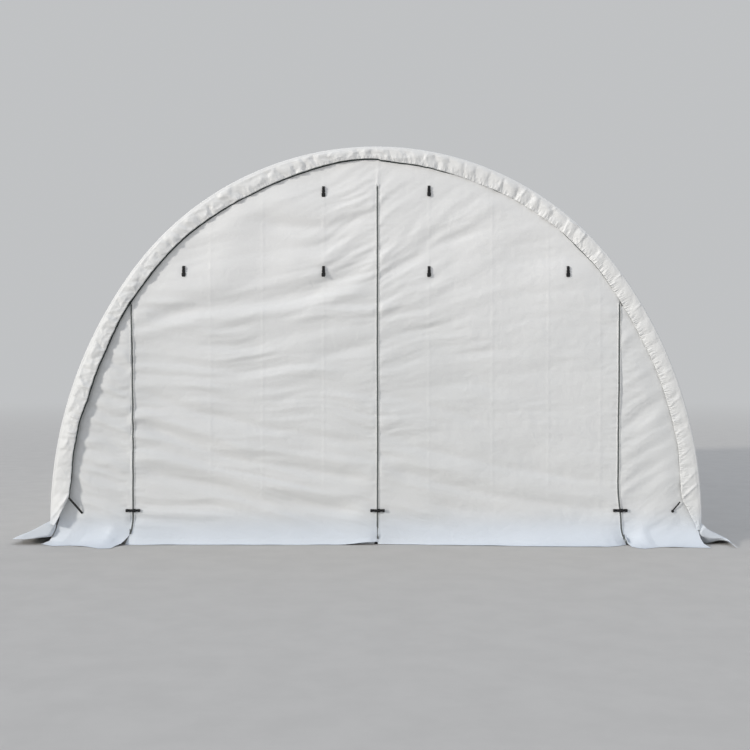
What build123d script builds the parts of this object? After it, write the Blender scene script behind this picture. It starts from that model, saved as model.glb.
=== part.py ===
"""Arched storage shelter: tube arches under a tensioned fabric cover, with a zipped fabric front.

Millimetres. X runs across the front, Y into the depth with the front facing -Y, Z up from the ground.
The origin is on the ground at the centre of the footprint.
"""

from build123d import *
from math import asin, atan2, cos, degrees, radians, sin, sqrt, tan
import os

os.makedirs("parts", exist_ok=True)

# Arch tubes, bent in three pieces, measured to the tube's centre line
crown_radius = 2790.0
side_radius = 3933.0
side_sweep = 36.5  # degrees of the side bend, from the upright leg to the crown
leg_height = 222.0  # straight foot of each arch, up to where the side bend starts
arch_tube = 50.0  # outside width of the square tube
bay_length = 1830.0
bay_count = 4

# Purlins: square tubes along the length, held under each arch by a saddle clip
purlin_tube = 40.0
clip_length = 40.0
clip_thickness = 4.0
clip_ear = 30.0
upper_purlin_angle = 55.0  # degrees above level, seen from the crown's centre
lower_purlin_angle = 18.0  # degrees above level, seen from the side bend's centre

# Foot plates, each with a socket near one end and a hole for a ground anchor at the other
plate_width = 120.0
plate_length = 200.0
plate_thickness = 6.0
plate_margin = 60.0  # from the tube's centre line out to the near end of its plate
anchor_offset = 100.0
anchor_hole = 14.0
socket_wall = 4.0
socket_height = 120.0
socket_clearance = 0.5

# End frames
header_height = 2620.0
header_tube = 40.0
back_post_spacing = 2200.0
post_gap = 8.0  # from a door's edge to the foot plate of the post beside it

# Fabric of the cover and of the end walls
cover_thickness = 5.0
wall_thickness = 4.0
cover_edge = 380.0  # height where the main cover is joined to its side skirt
seam_length = 40.0  # of the skirt, in line with the cover, below that seam
wall_lap = 15.0  # how far an end wall laps past the arch tube's centre line

# Hem band that the cover makes round each end
hem_standoff = 36.0  # gap between the end wall and the hem band
hem_ridge_width = 110.0
hem_side_width = 170.0
hem_crown_ease = 60.0  # how much tighter the band's inner edge is bent at the crown
hem_foot_width = 82.0
hem_taper_height = 218.0

# Side skirts, with a tension rail in a pocket
rail_tube = 22.0
rail_height = 225.0
pocket_thickness = 2.0
skirt_reach = 350.0  # from the leg's centre line out to where the skirt meets the ground
skirt_tail = 30.0
skirt_bend = 35.0

# Ground flaps of the end walls
flap_height = 200.0
flap_reach = 240.0
flap_tail = 45.0
flap_bend = 60.0
flap_end_gap = 60.0  # from the leg's centre line in to the flap's outer end, at the wall
flap_tip_reach = 70.0  # from the leg's centre line out to the flap's tip, on the ground

# Zipped front
zipper_offset = 2295.0  # centre of each side zipper from the middle
zipper_width = 25.0
zipper_thickness = 6.0
centre_zipper_top = 3350.0
zipper_foot = 10.0
door_bar = 26.0
door_hem_thickness = 3.0
door_ground_gap = 3.0

# Straps and buckles
strap_thickness = 3.0
roll_strap_width = 28.0
roll_strap_length = 98.0
roll_strap_inner = 500.0
roll_strap_outer = 1800.0
roll_strap_low = 2560.0
roll_strap_high = 3310.0
buckle_width = 36.0
buckle_length = 46.0
buckle_thickness = 10.0
zip_strap_length = 144.0
zip_strap_width = 24.0
zip_strap_height = 320.0
tie_width = 20.0
tie_pad = 40.0  # of the tie, sewn on the hem band
tie_start = 20.0  # from the hem band's edge to where the tie leaves its face
tie_drop = 60.0  # along the tie, down from the hem band's face to the wall
tie_end = 80.0  # of the tie, lying on the wall
tie_height = 450.0
tie_slope = 50.0  # degrees below level, from the hem band in towards the door

seat = 0.3  # air left between a curved or soft piece and what carries it

# Arch geometry that follows from the bends
bend_gain = side_radius - crown_radius
side_centre = -bend_gain * cos(radians(side_sweep))
half_span = side_centre + side_radius
crown_centre = leg_height + bend_gain * sin(radians(side_sweep))
frame_half = bay_count * bay_length / 2
arch_half = arch_tube / 2

# Layers outwards from the tubes' centre line
cover_inside = arch_half + seat
cover_outside = cover_inside + cover_thickness
wall_back = frame_half + arch_half + seat
wall_front = wall_back + wall_thickness
hem_back_face = wall_front + hem_standoff
hem_front_face = hem_back_face + cover_thickness

# The hem band's inner edge, a tighter three-centred arch that leaves less width at the ridge
hem_half = half_span + cover_outside - hem_side_width
hem_foot = half_span + cover_outside - hem_foot_width
hem_top = crown_centre + crown_radius + cover_outside - hem_ridge_width
hem_crown = crown_radius + cover_outside - hem_ridge_width - hem_crown_ease
hem_rise = hem_top - leg_height - hem_crown
hem_sweep = 2 * atan2(hem_half - hem_crown, hem_rise)
hem_side = hem_crown + hem_rise / sin(hem_sweep)

# Edges of the door halves, and what stands beside and below them
door_inner = zipper_width / 2
door_outer = zipper_offset - zipper_width / 2
corner_inner = zipper_offset + zipper_width / 2
wall_middle = wall_back + wall_thickness / 2
front_post_x = door_outer + post_gap + plate_width / 2
back_post_x = back_post_spacing / 2
door_hem = door_bar / 2 + seat + door_hem_thickness
door_hem_height = door_ground_gap + door_hem

# Side pockets: the rail lies outside the legs with the pocket's cloth between them
rail_x = half_span + arch_half + seat + pocket_thickness + seat + rail_tube / 2
pocket_inside = rail_tube / 2 + seat
skirt_x = rail_x + pocket_inside + cover_thickness / 2


def arch_outline(half, spring, crown, crown_height, side, sweep, mode=Mode.ADD):
    """Fill a three-centred arch: upright legs to the spring line, side bends and a crown arc."""
    with BuildLine() as outline:
        Line((half, 0), (half, spring))
        CenterArc((half - side, spring), side, 0, sweep)
        CenterArc((0, crown_height), crown, sweep, 180 - 2 * sweep)
        CenterArc((side - half, spring), side, 180 - sweep, sweep)
        Polyline((-half, spring), (-half, 0), (half, 0))
    make_face(outline.edges(), mode=mode)


def offset_arch(reach, mode=Mode.ADD):
    """Fill the arch that lies `reach` outside the tubes' centre line."""
    crown, side = crown_radius + reach, side_radius + reach
    arch_outline(half_span + reach, leg_height, crown, crown_centre, side, side_sweep, mode)


def octagon(width, mode=Mode.ADD):
    """Eight-sided section, `width` across its flats, as a bar or rail bends its cloth."""
    RegularPolygon(width / 2, 8, major_radius=False, rotation=22.5, mode=mode)


def arch_place(angle, inwards):
    """Point on the arch at an angle above level, moved inwards from the tube's centre line."""
    if angle > side_sweep:
        centre, radius = (0, crown_centre), crown_radius - inwards
    else:
        centre, radius = (side_centre, leg_height), side_radius - inwards
    return centre[0] + radius * cos(radians(angle)), centre[1] + radius * sin(radians(angle))


def save(builder, name):
    """Label a finished sub-part and write it as one STEP file."""
    builder.part.label = name
    export_step(builder.part, f"parts/{name}.step")


def save_pair(builder, name):
    """Write a sub-part of the right side, and its mirror image for the left side."""
    save(builder, f"{name}_right")
    with BuildPart() as other:
        mirror(builder.part, about=Plane.YZ)
    save(other, f"{name}_left")


def both_sides(builder):
    """A sub-part of the right side together with its mirror image."""
    with BuildPart() as pair:
        add(builder.part)
        mirror(about=Plane.YZ)
    return pair


# Arches: two legs and side bends, joined by the crown
arch_names = ["arch_front"] + [f"arch_{n}" for n in range(2, bay_count + 1)] + ["arch_back"]
side_axis = Axis((side_centre, 0, leg_height), (0, -1, 0))
crown_axis = Axis((0, 0, crown_centre), (0, -1, 0))
crown_start = arch_place(side_sweep + 1e-9, 0)
crown_plane = Plane(
    origin=(crown_start[0], 0, crown_start[1]),
    x_dir=(cos(radians(side_sweep)), 0, sin(radians(side_sweep))),
    z_dir=(-sin(radians(side_sweep)), 0, cos(radians(side_sweep))),
)
with BuildPart() as arch:
    with BuildSketch(Plane.XY.offset(plate_thickness)):
        with Locations((half_span, 0)):
            Rectangle(arch_tube, arch_tube)
    extrude(amount=leg_height - plate_thickness)
    with BuildSketch(Plane.XY.offset(leg_height)):
        with Locations((half_span, 0)):
            Rectangle(arch_tube, arch_tube)
    revolve(axis=side_axis, revolution_arc=side_sweep)
    mirror(about=Plane.YZ)
    with BuildSketch(crown_plane):
        Rectangle(arch_tube, arch_tube)
    revolve(axis=crown_axis, revolution_arc=180 - 2 * side_sweep)

for n, name in enumerate(arch_names):
    with BuildPart() as placed:
        with Locations((0, n * bay_length - frame_half, 0)):
            add(arch.part)
    save(placed, name)


# Purlins: tubes along the length under the arches, flush with the end arches' outer faces
def across_arch(angle, along):
    """Plane across the length at a purlin: local y points outwards, and 0 is the arch's inner flat."""
    top = arch_place(angle, arch_half + seat)
    across = (-sin(radians(angle)), 0, cos(radians(angle)))
    return Plane((top[0], along, top[1]), x_dir=across, z_dir=(0, 1, 0))


def purlin(angle):
    """One line of purlin tube, its outer flat against the arches."""
    with BuildPart() as line:
        with BuildSketch(across_arch(angle, -frame_half - arch_half)):
            with Locations((0, -purlin_tube / 2)):
                Rectangle(purlin_tube, purlin_tube)
        extrude(amount=2 * (frame_half + arch_half))
    return line


save(purlin(90), "purlin_ridge")
save_pair(purlin(upper_purlin_angle), "purlin_upper")
save_pair(purlin(lower_purlin_angle), "purlin_lower")


def purlin_clip(angle, along):
    """Saddle bent round a purlin, its two ears against the inner flat of one arch."""
    with BuildPart() as clip:
        with BuildSketch(across_arch(angle, along - clip_length / 2)):
            with Locations((0, -ear_dip)):
                Rectangle(2 * clip_half, clip_thickness, align=(Align.CENTER, Align.MAX))
                Rectangle(clip_box, clip_box - ear_dip, align=(Align.CENTER, Align.MAX))
            with Locations((0, -purlin_tube / 2)):
                Rectangle(purlin_tube + 2 * seat, purlin_tube + 2 * seat, mode=Mode.SUBTRACT)
        extrude(amount=clip_length)
    return clip


clip_box = purlin_tube + 2 * (seat + clip_thickness)
clip_half = clip_box / 2 + clip_ear
ear_dip = clip_half**2 / (2 * (crown_radius - arch_half))  # where the arch's flat bends towards the ears
clip_lines = [
    purlin_clip(angle, n * bay_length - frame_half)
    for angle in (90, upper_purlin_angle, lower_purlin_angle)
    for n in range(bay_count + 1)
]
side_lines = clip_lines[bay_count + 1 :]
with BuildPart() as purlin_clips:
    for clip in side_lines:
        add(clip.part)
    mirror(about=Plane.YZ)
    for clip in clip_lines[: bay_count + 1]:
        add(clip.part)
save(purlin_clips, "purlin_clips")


# Feet: a plate on the ground with a square socket that takes the leg
def foot(tube, turn):
    """Foot plate that reaches inwards along the plane's X, turned, from a socket round the tube."""
    inside = tube + 2 * socket_clearance
    with BuildPart() as piece:
        with BuildSketch(Plane.XY.rotated((0, 0, turn))):
            with Locations((-plate_margin, 0)):
                Rectangle(plate_length, plate_width, align=(Align.MIN, Align.CENTER))
            with Locations((anchor_offset, 0)):
                Circle(anchor_hole / 2, mode=Mode.SUBTRACT)
        extrude(amount=plate_thickness)
        with BuildSketch(Plane.XY.offset(plate_thickness)):
            Rectangle(inside + 2 * socket_wall, inside + 2 * socket_wall)
            Rectangle(inside, inside, mode=Mode.SUBTRACT)
        extrude(amount=socket_height)
    return piece


def feet_at(piece, places):
    """A copy of the foot at each place."""
    with BuildPart() as feet:
        with Locations(*[(x, y, 0) for x, y in places]):
            add(piece.part)
    return feet


arch_foot = foot(arch_tube, 180)
save_pair(feet_at(arch_foot, [(half_span, n * bay_length - frame_half) for n in range(bay_count + 1)]), "feet")


# End frames: posts from the ground up to the arch, and a level tube between the arch's sides
def end_post(x, y):
    """Upright tube on its plate, its top coped to the inner flat of the arch."""
    with BuildPart() as post:
        with BuildSketch(Plane.XY.offset(plate_thickness)):
            with Locations((x, y)):
                Rectangle(arch_tube, arch_tube)
        extrude(amount=crown_centre + crown_radius)
        with BuildSketch(Plane.XZ.offset(-y - arch_half)):
            offset_arch(-arch_half - seat)
        extrude(amount=arch_tube, mode=Mode.INTERSECT)
    return post


def level_tube(y):
    """Level tube across an end frame, its ends coped to the inner flats of the arch."""
    with BuildPart() as tube:
        with BuildSketch(Plane.YZ.offset(-half_span)):
            with Locations((y, header_height)):
                Rectangle(header_tube, header_tube)
        extrude(amount=2 * half_span)
        with BuildSketch(Plane.XZ.offset(-y - arch_half)):
            offset_arch(-arch_half - seat)
        extrude(amount=arch_tube, mode=Mode.INTERSECT)
    return tube


header_inset = arch_half - header_tube / 2
save_pair(end_post(front_post_x, -frame_half), "front_post")
save_pair(end_post(back_post_x, frame_half), "back_post")
save(level_tube(-frame_half - header_inset), "front_header")
front_post_places = [(side * front_post_x, -frame_half) for side in (1, -1)]
back_post_places = [(side * back_post_x, frame_half) for side in (1, -1)]
save(feet_at(foot(arch_tube, 90), front_post_places), "front_post_feet")
save(feet_at(foot(arch_tube, -90), back_post_places), "back_post_feet")

# Main cover: a thin arched shell over the tubes, out to the hem bands
edge_angle = degrees(asin((cover_edge - leg_height) / side_radius))
cover_middle = cover_inside + cover_thickness / 2
with BuildPart() as cover:
    with BuildSketch(Plane.XZ.offset(hem_back_face)):
        with BuildLine():
            side_arc = side_radius + cover_middle
            CenterArc((side_centre, leg_height), side_arc, edge_angle, side_sweep - edge_angle)
            CenterArc((0, crown_centre), crown_radius + cover_middle, side_sweep, 180 - 2 * side_sweep)
            CenterArc((-side_centre, leg_height), side_arc, 180 - side_sweep, side_sweep - edge_angle)
        trace(line_width=cover_thickness)
    extrude(amount=-2 * hem_back_face)
save(cover, "cover")

# Hem bands: the cover's edge turned in round the end, tapering at its feet
with BuildPart() as hem:
    with BuildSketch(Plane.XZ.offset(hem_back_face)):
        offset_arch(cover_outside)
        arch_outline(
            hem_half, leg_height, hem_crown, hem_top - hem_crown, hem_side, degrees(hem_sweep), Mode.SUBTRACT
        )
        with Locations((0, rail_height)):
            Rectangle(4 * half_span, 2 * rail_height, align=(Align.CENTER, Align.MAX), mode=Mode.SUBTRACT)
        for side in (1, -1):
            Polygon(
                (side * hem_foot, rail_height),
                (side * hem_half, rail_height + hem_taper_height),
                (side * (2 * hem_half - hem_foot), rail_height),
                align=None,
                mode=Mode.SUBTRACT,
            )
    extrude(amount=cover_thickness)
save(hem, "hem_front")
with BuildPart() as hem_back:
    mirror(hem.part, about=Plane.XZ)
save(hem_back, "hem_back")

# Side skirts: down from the cover's edge, round the rail's pocket and out over the ground
seam = arch_place(edge_angle, -cover_middle)
with BuildPart() as skirt:
    with BuildSketch(Plane.XZ.offset(hem_back_face)):
        with BuildLine():
            FilletPolyline(
                seam,
                (
                    seam[0] + seam_length * sin(radians(edge_angle)),
                    seam[1] - seam_length * cos(radians(edge_angle)),
                ),
                (skirt_x, rail_height + rail_tube),
                (skirt_x, rail_height - rail_tube),
                (half_span + skirt_reach, cover_thickness / 2),
                (half_span + skirt_reach + skirt_tail, cover_thickness / 2),
                radius=skirt_bend,
            )
        trace(line_width=cover_thickness)
        with Locations((rail_x, rail_height)):
            octagon(2 * (pocket_inside + pocket_thickness))
            octagon(2 * pocket_inside, mode=Mode.SUBTRACT)
    extrude(amount=-2 * hem_back_face)
save_pair(skirt, "side_skirt")

with BuildPart() as rail:
    with BuildSketch(Plane.XZ.offset(hem_back_face)):
        with Locations((rail_x, rail_height)):
            octagon(rail_tube)
    extrude(amount=-2 * hem_back_face)
save_pair(rail, "tension_rail")

# Front corner panels, from the side zippers out over the arch
with BuildPart() as corner_panel:
    with BuildSketch(Plane.XZ.offset(wall_back)):
        with Locations((corner_inner, flap_height)):
            Rectangle(half_span, crown_centre + crown_radius, align=(Align.MIN, Align.MIN))
        offset_arch(wall_lap, mode=Mode.INTERSECT)
    extrude(amount=wall_thickness)
save_pair(corner_panel, "corner_panel")


# Ground flaps: the foot of an end wall, bent outwards to lie on the ground
def ground_flap(inner, outer):
    """Flap between two distances from the middle, below the front wall."""
    foot_y = wall_middle + flap_reach
    with BuildPart() as flap:
        with BuildSketch(Plane.YZ.offset(inner)):
            with BuildLine():
                FilletPolyline(
                    (-wall_middle, flap_height),
                    (-wall_middle, flap_height - flap_bend),
                    (-foot_y, wall_thickness / 2),
                    (-foot_y - flap_tail, wall_thickness / 2),
                    radius=flap_bend,
                )
            trace(line_width=wall_thickness)
        extrude(amount=outer - inner)
    return flap


flap_outer = half_span - flap_end_gap
flap_tip = half_span + flap_tip_reach
with BuildPart() as corner_flap:
    add(ground_flap(corner_inner, flap_tip).part)
    with BuildSketch():
        Polygon(
            (flap_outer, -wall_back),
            (flap_outer, -wall_front - wall_thickness),
            (flap_tip, -wall_front - flap_reach - flap_tail),
            (2 * flap_tip, -wall_front - flap_reach - flap_tail),
            (2 * flap_tip, -wall_back),
            align=None,
        )
    extrude(amount=flap_height, mode=Mode.SUBTRACT)
save_pair(corner_flap, "corner_flap")

# Door halves: one sheet each, with a hem at the foot for the bar that it is rolled up on
with BuildPart() as door:
    with BuildSketch(Plane.XZ.offset(wall_back)):
        with Locations((door_inner, door_hem_height)):
            Rectangle(door_outer - door_inner, crown_centre + crown_radius, align=(Align.MIN, Align.MIN))
        with Locations((0, centre_zipper_top)):
            Rectangle(zipper_width, crown_radius, align=(Align.MIN, Align.MIN))
        offset_arch(wall_lap, mode=Mode.INTERSECT)
    extrude(amount=wall_thickness)
    with BuildSketch(Plane.YZ.offset(door_inner)):
        with Locations((-wall_middle, door_hem_height)):
            octagon(2 * door_hem)
    extrude(amount=door_outer - door_inner)
    with BuildSketch(Plane.YZ.offset(door_inner)):
        with Locations((-wall_middle, door_hem_height)):
            octagon(door_bar + 2 * seat)
    extrude(amount=door_outer - door_inner, mode=Mode.SUBTRACT)
save_pair(door, "door")

with BuildPart() as bar:
    with BuildSketch(Plane.YZ.offset(door_inner)):
        with Locations((-wall_middle, door_hem_height)):
            octagon(door_bar)
    extrude(amount=door_outer - door_inner)
save_pair(bar, "door_bar")


# Zippers: a strip between two panels, proud of their front faces
def zipper(x, top):
    """Upright zipper centred at x, cut off under the arch tube."""
    with BuildPart() as strip:
        with BuildSketch(Plane.XZ.offset(wall_back)):
            with Locations((x, zipper_foot)):
                Rectangle(zipper_width, top - zipper_foot, align=(Align.CENTER, Align.MIN))
            offset_arch(-arch_half - seat, mode=Mode.INTERSECT)
        extrude(amount=zipper_thickness)
    return strip


save(zipper(0, centre_zipper_top), "zipper_centre")
save_pair(zipper(zipper_offset, centre_zipper_top), "zipper")

# Back wall and its flap
with BuildPart() as back_wall:
    with BuildSketch(Plane.XZ.offset(-wall_back)):
        with Locations((0, flap_height)):
            Rectangle(3 * half_span, crown_centre + crown_radius, align=(Align.CENTER, Align.MIN))
        offset_arch(wall_lap, mode=Mode.INTERSECT)
    extrude(amount=-wall_thickness)
save(back_wall, "back_wall")
front_strip = ground_flap(-flap_outer, flap_outer)
with BuildPart() as back_flap:
    mirror(front_strip.part, about=Plane.XZ)
save(back_flap, "back_flap")


# Straps, each a ribbon with a buckle across it
def strap(face, x, z, width, height, buckle_size):
    """Ribbon flat on a face of the front wall, with a buckle over its middle or its foot."""
    with BuildPart() as ribbon:
        with BuildSketch(Plane.XZ.offset(face)):
            with Locations((x, z)):
                Rectangle(width, height)
        extrude(amount=strap_thickness)
        lower = min(0, (buckle_size[1] - height) / 2)
        with BuildSketch(Plane.XZ.offset(face)):
            with Locations((x, z + lower)):
                Rectangle(*buckle_size)
        extrude(amount=buckle_thickness)
    return ribbon


roll_size = (roll_strap_width, roll_strap_length, (buckle_width, buckle_length))
roll_places = [
    (roll_strap_inner, roll_strap_low),
    (roll_strap_inner, roll_strap_high),
    (roll_strap_outer, roll_strap_low),
]
roll_pieces = [strap(wall_front, x, z, *roll_size) for x, z in roll_places]
with BuildPart() as roll_straps:
    for piece in roll_pieces:
        add(piece.part)
save(both_sides(roll_straps), "roll_straps")

zip_size = (zip_strap_length, zip_strap_width, (buckle_length, buckle_width))
zip_face = wall_back + zipper_thickness
side_zip_straps = both_sides(strap(zip_face, zipper_offset, zip_strap_height, *zip_size))
centre_zip_strap = strap(zip_face, 0, zip_strap_height, *zip_size)
with BuildPart() as zip_straps:
    add(side_zip_straps.part)
    add(centre_zip_strap.part)
save(zip_straps, "zip_straps")

# Corner ties: from the hem band's face down to the wall, slanting in towards the door
tie_x = hem_half - hem_side + sqrt(hem_side**2 - (tie_height - leg_height) ** 2)
tie_along = (-cos(radians(tie_slope)), 0, -sin(radians(tie_slope)))
tie_across = (-sin(radians(tie_slope)), 0, cos(radians(tie_slope)))
with BuildPart() as tie:
    with BuildSketch(Plane((tie_x, 0, tie_height), x_dir=tie_along, z_dir=tie_across)):
        with BuildLine():
            FilletPolyline(
                (-tie_pad, hem_front_face + strap_thickness / 2),
                (tie_start, hem_front_face + strap_thickness / 2),
                (tie_start + tie_drop, wall_front + strap_thickness / 2),
                (tie_start + tie_drop + tie_end, wall_front + strap_thickness / 2),
                radius=2 * strap_thickness,
            )
        trace(line_width=strap_thickness)
    extrude(amount=tie_width / 2, both=True)
save_pair(tie, "corner_tie")
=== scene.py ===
# %% [markdown]
# # Arched storage shelter
# The shelter is white coated cloth stretched over bent steel arches. Two layers can be seen: the
# main cover, whose edge is turned in round the front as a puckered hem band, and the front wall,
# which is cut by three zippers into two door halves and two corner panels. Steel, cloth, webbing
# and the floor each get a cell below. The frame comes from the CAD and stays where it is.

# %% Load the frame
import math
import bpy
import numpy as np
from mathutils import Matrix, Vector


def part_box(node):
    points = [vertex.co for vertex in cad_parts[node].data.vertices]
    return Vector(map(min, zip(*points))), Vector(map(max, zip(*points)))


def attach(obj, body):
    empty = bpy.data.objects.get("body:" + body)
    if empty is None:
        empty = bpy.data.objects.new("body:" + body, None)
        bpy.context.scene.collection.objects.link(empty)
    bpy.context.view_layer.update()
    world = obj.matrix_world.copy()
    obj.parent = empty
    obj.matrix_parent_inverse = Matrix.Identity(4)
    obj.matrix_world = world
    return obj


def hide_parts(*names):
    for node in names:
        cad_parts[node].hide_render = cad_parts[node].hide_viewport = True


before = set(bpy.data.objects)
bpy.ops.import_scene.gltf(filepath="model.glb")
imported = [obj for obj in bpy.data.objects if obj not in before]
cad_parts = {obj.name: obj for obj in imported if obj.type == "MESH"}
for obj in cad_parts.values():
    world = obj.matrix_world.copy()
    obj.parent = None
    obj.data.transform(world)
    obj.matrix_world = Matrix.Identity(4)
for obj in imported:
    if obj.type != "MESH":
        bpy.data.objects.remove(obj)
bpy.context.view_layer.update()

# %% [markdown]
# ## Sizes
# The cloth has to lie on the tubes, so the arch is described again with the sizes of the CAD, in
# metres: straight legs, side bends of a large radius, and a crown of a smaller one. Everything that
# follows the arch is given by its distance `s` along the tube's centre line, from the left foot over
# the ridge to the right foot, and by its reach outwards from that line.

# %% Arch sizes
CROWN_RADIUS = 2.790
SIDE_RADIUS = 3.933
SIDE_SWEEP = math.radians(36.5)
LEG_HEIGHT = 0.222
BAY = 1.83
ARCH_HALF = 0.025
FRAME_HALF = -(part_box("arch_front")[0].y + ARCH_HALF)
SIDE_CENTRE = -(SIDE_RADIUS - CROWN_RADIUS) * math.cos(SIDE_SWEEP)
HALF_SPAN = SIDE_CENTRE + SIDE_RADIUS
CROWN_CENTRE = LEG_HEIGHT + (SIDE_RADIUS - CROWN_RADIUS) * math.sin(SIDE_SWEEP)
CROWN_ARC = CROWN_RADIUS * (math.pi / 2 - SIDE_SWEEP)
SIDE_ARC = SIDE_RADIUS * SIDE_SWEEP
ARCH_LENGTH = 2 * (CROWN_ARC + SIDE_ARC + LEG_HEIGHT)
# how far the cover lies outside the centre line, and the walls in front of the end arches' plane
COVER_REACH = 0.0303
WALL_FACE = 0.0293
# where the walls end above, outside the centre line
WALL_REACH = 0.012
# the height of cloth that lies on the ground, and the height over it at which a wall's foot begins
ON_GROUND = 0.003
FOOT_RISE = 0.24
FOOT_TOP = ON_GROUND + FOOT_RISE
SIDES = ((-1, "left"), (1, "right"))
print(f"arch {ARCH_LENGTH:.3f} m long, half span {HALF_SPAN:.4f}, frame half {FRAME_HALF:.4f}")


# %% The arch as a function
def arch(s, reach=0.0):
    """Point and outward normal of the arch at a distance s from the left foot.

    With t the distance from the ridge: on the crown the point is CROWN_RADIUS * (sin a, cos a) above
    the crown's centre, a = t / CROWN_RADIUS; on the side it is SIDE_RADIUS * (cos b, sin b) from the
    side's centre, b falling from the sweep to 0; on the leg x is the half span. The point then moves
    out by reach along its normal.
    """
    t = np.abs(s - ARCH_LENGTH / 2)
    side = np.where(s < ARCH_LENGTH / 2, -1.0, 1.0)
    a = t / CROWN_RADIUS
    b = SIDE_SWEEP - (t - CROWN_ARC) / SIDE_RADIUS
    on = [t < CROWN_ARC, t < CROWN_ARC + SIDE_ARC]
    nx = np.select(on, [np.sin(a), np.cos(b)], 1.0)
    nz = np.select(on, [np.cos(a), np.sin(b)], 0.0)
    leg = LEG_HEIGHT - (t - CROWN_ARC - SIDE_ARC)
    x = np.select(on, [CROWN_RADIUS * nx, SIDE_CENTRE + SIDE_RADIUS * nx], HALF_SPAN)
    z = np.select(on, [CROWN_CENTRE + CROWN_RADIUS * nz, LEG_HEIGHT + SIDE_RADIUS * nz], leg)
    return side * (x + reach * nx), z + reach * nz, side * nx, nz


def arch_top(x, reach):
    """Height of the arch moved out by reach, over a point x of the front: the crown or the side."""
    crown, side = CROWN_RADIUS + reach, SIDE_RADIUS + reach
    over = np.abs(x)
    on_crown = over < crown * math.cos(SIDE_SWEEP)
    high = CROWN_CENTRE + np.sqrt(np.maximum(crown**2 - over**2, 0))
    low = LEG_HEIGHT + np.sqrt(np.maximum(side**2 - (over - SIDE_CENTRE) ** 2, 0))
    return np.where(on_crown, high, low)


def inside_arch(x, z):
    """How far a point lies inside the tube's centre line, measured across the tube."""
    over = np.abs(x)
    from_crown = CROWN_RADIUS - np.hypot(over, z - CROWN_CENTRE)
    from_side = SIDE_RADIUS - np.hypot(over - SIDE_CENTRE, np.maximum(z - LEG_HEIGHT, 0))
    steep = np.arctan2(z - CROWN_CENTRE, over) > SIDE_SWEEP
    return np.where(steep, from_crown, from_side)


print("ridge:", [round(float(v), 4) for v in arch(np.array(ARCH_LENGTH / 2), COVER_REACH)[:2]])

# %% [markdown]
# ## Making cloth from arrays
# Each piece of cloth is a grid of points worked out at once as numpy arrays. The grid is turned so
# that its faces look away from the middle of the shelter. A UV map in metres goes with it, so that
# weave and seams run along the cloth and keep their size on a curve.


# %% Grid to mesh
def grid_quads(rows, columns):
    """Corner numbers of all the quads of a grid of rows by columns points."""
    number = np.arange(rows * columns).reshape(rows, columns)
    corners = [number[:-1, :-1], number[1:, :-1], number[1:, 1:], number[:-1, 1:]]
    return np.stack(corners, axis=-1).reshape(-1, 4)


def grid(*parts):
    """Arrays, rows and columns spread to one shape and stacked: the points or the UVs of a grid."""
    return np.stack(np.broadcast_arrays(*parts), axis=-1)


def away_from(points, quads, centre):
    """True if the quads' normals (the cross product of their diagonals) face away from centre."""
    a, b, c, d = (points[quads[:, k]] for k in range(4))
    normal = np.cross(c - a, d - b)
    return float(np.sum(normal * ((a + c) / 2 - centre))) > 0


def make_piece(name, patches, material, stands_for=(), smooth=True):
    """One object from several patches. A patch is (points, uv) or (points, uv, centre)."""
    points, uvs, quads, start = [], [], [], 0
    for patch in patches:
        place = np.asarray(patch[0], float)
        rows, columns = place.shape[:2]
        flat = place.reshape(-1, 3)
        corners = grid_quads(rows, columns)
        centre = np.array(patch[2]) if len(patch) > 2 else np.array([0.0, 0.0, 1.2])
        if not away_from(flat, corners, centre):
            corners = corners[:, ::-1]
        points.append(flat)
        uvs.append(np.asarray(patch[1], float).reshape(-1, 2))
        quads.append(corners + start)
        start += len(flat)
    points, uvs, quads = np.concatenate(points), np.concatenate(uvs), np.concatenate(quads)
    mesh = bpy.data.meshes.new(name)
    mesh.vertices.add(len(points))
    mesh.vertices.foreach_set("co", points.astype(np.float32).ravel())
    mesh.loops.add(quads.size)
    mesh.loops.foreach_set("vertex_index", quads.astype(np.int32).ravel())
    mesh.polygons.add(len(quads))
    mesh.polygons.foreach_set("loop_start", np.arange(0, quads.size, 4, dtype=np.int32))
    mesh.polygons.foreach_set("use_smooth", np.full(len(quads), smooth))
    mesh.update(calc_edges=True)
    layer = mesh.uv_layers.new(name="cloth")
    layer.data.foreach_set("uv", uvs[quads.ravel()].astype(np.float32).ravel())
    mesh.validate()
    mesh.materials.append(material)
    piece = bpy.data.objects.new(name, mesh)
    bpy.context.scene.collection.objects.link(piece)
    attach(piece, "root")
    if stands_for:
        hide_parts(*stands_for)
    print(f"{name}: {2 * len(quads)} triangles")
    return piece


# %% [markdown]
# ## Folds
# Cloth under tension folds along the pull, so its wrinkles are long and thin and fan out from what
# holds them. Gradient noise, stretched along the pull and laid over bent lines, gives folds like
# that. A single deep fold is a line of points with a width and a depth.


# %% Noise and single folds
NOISE_CELLS = 61


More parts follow.
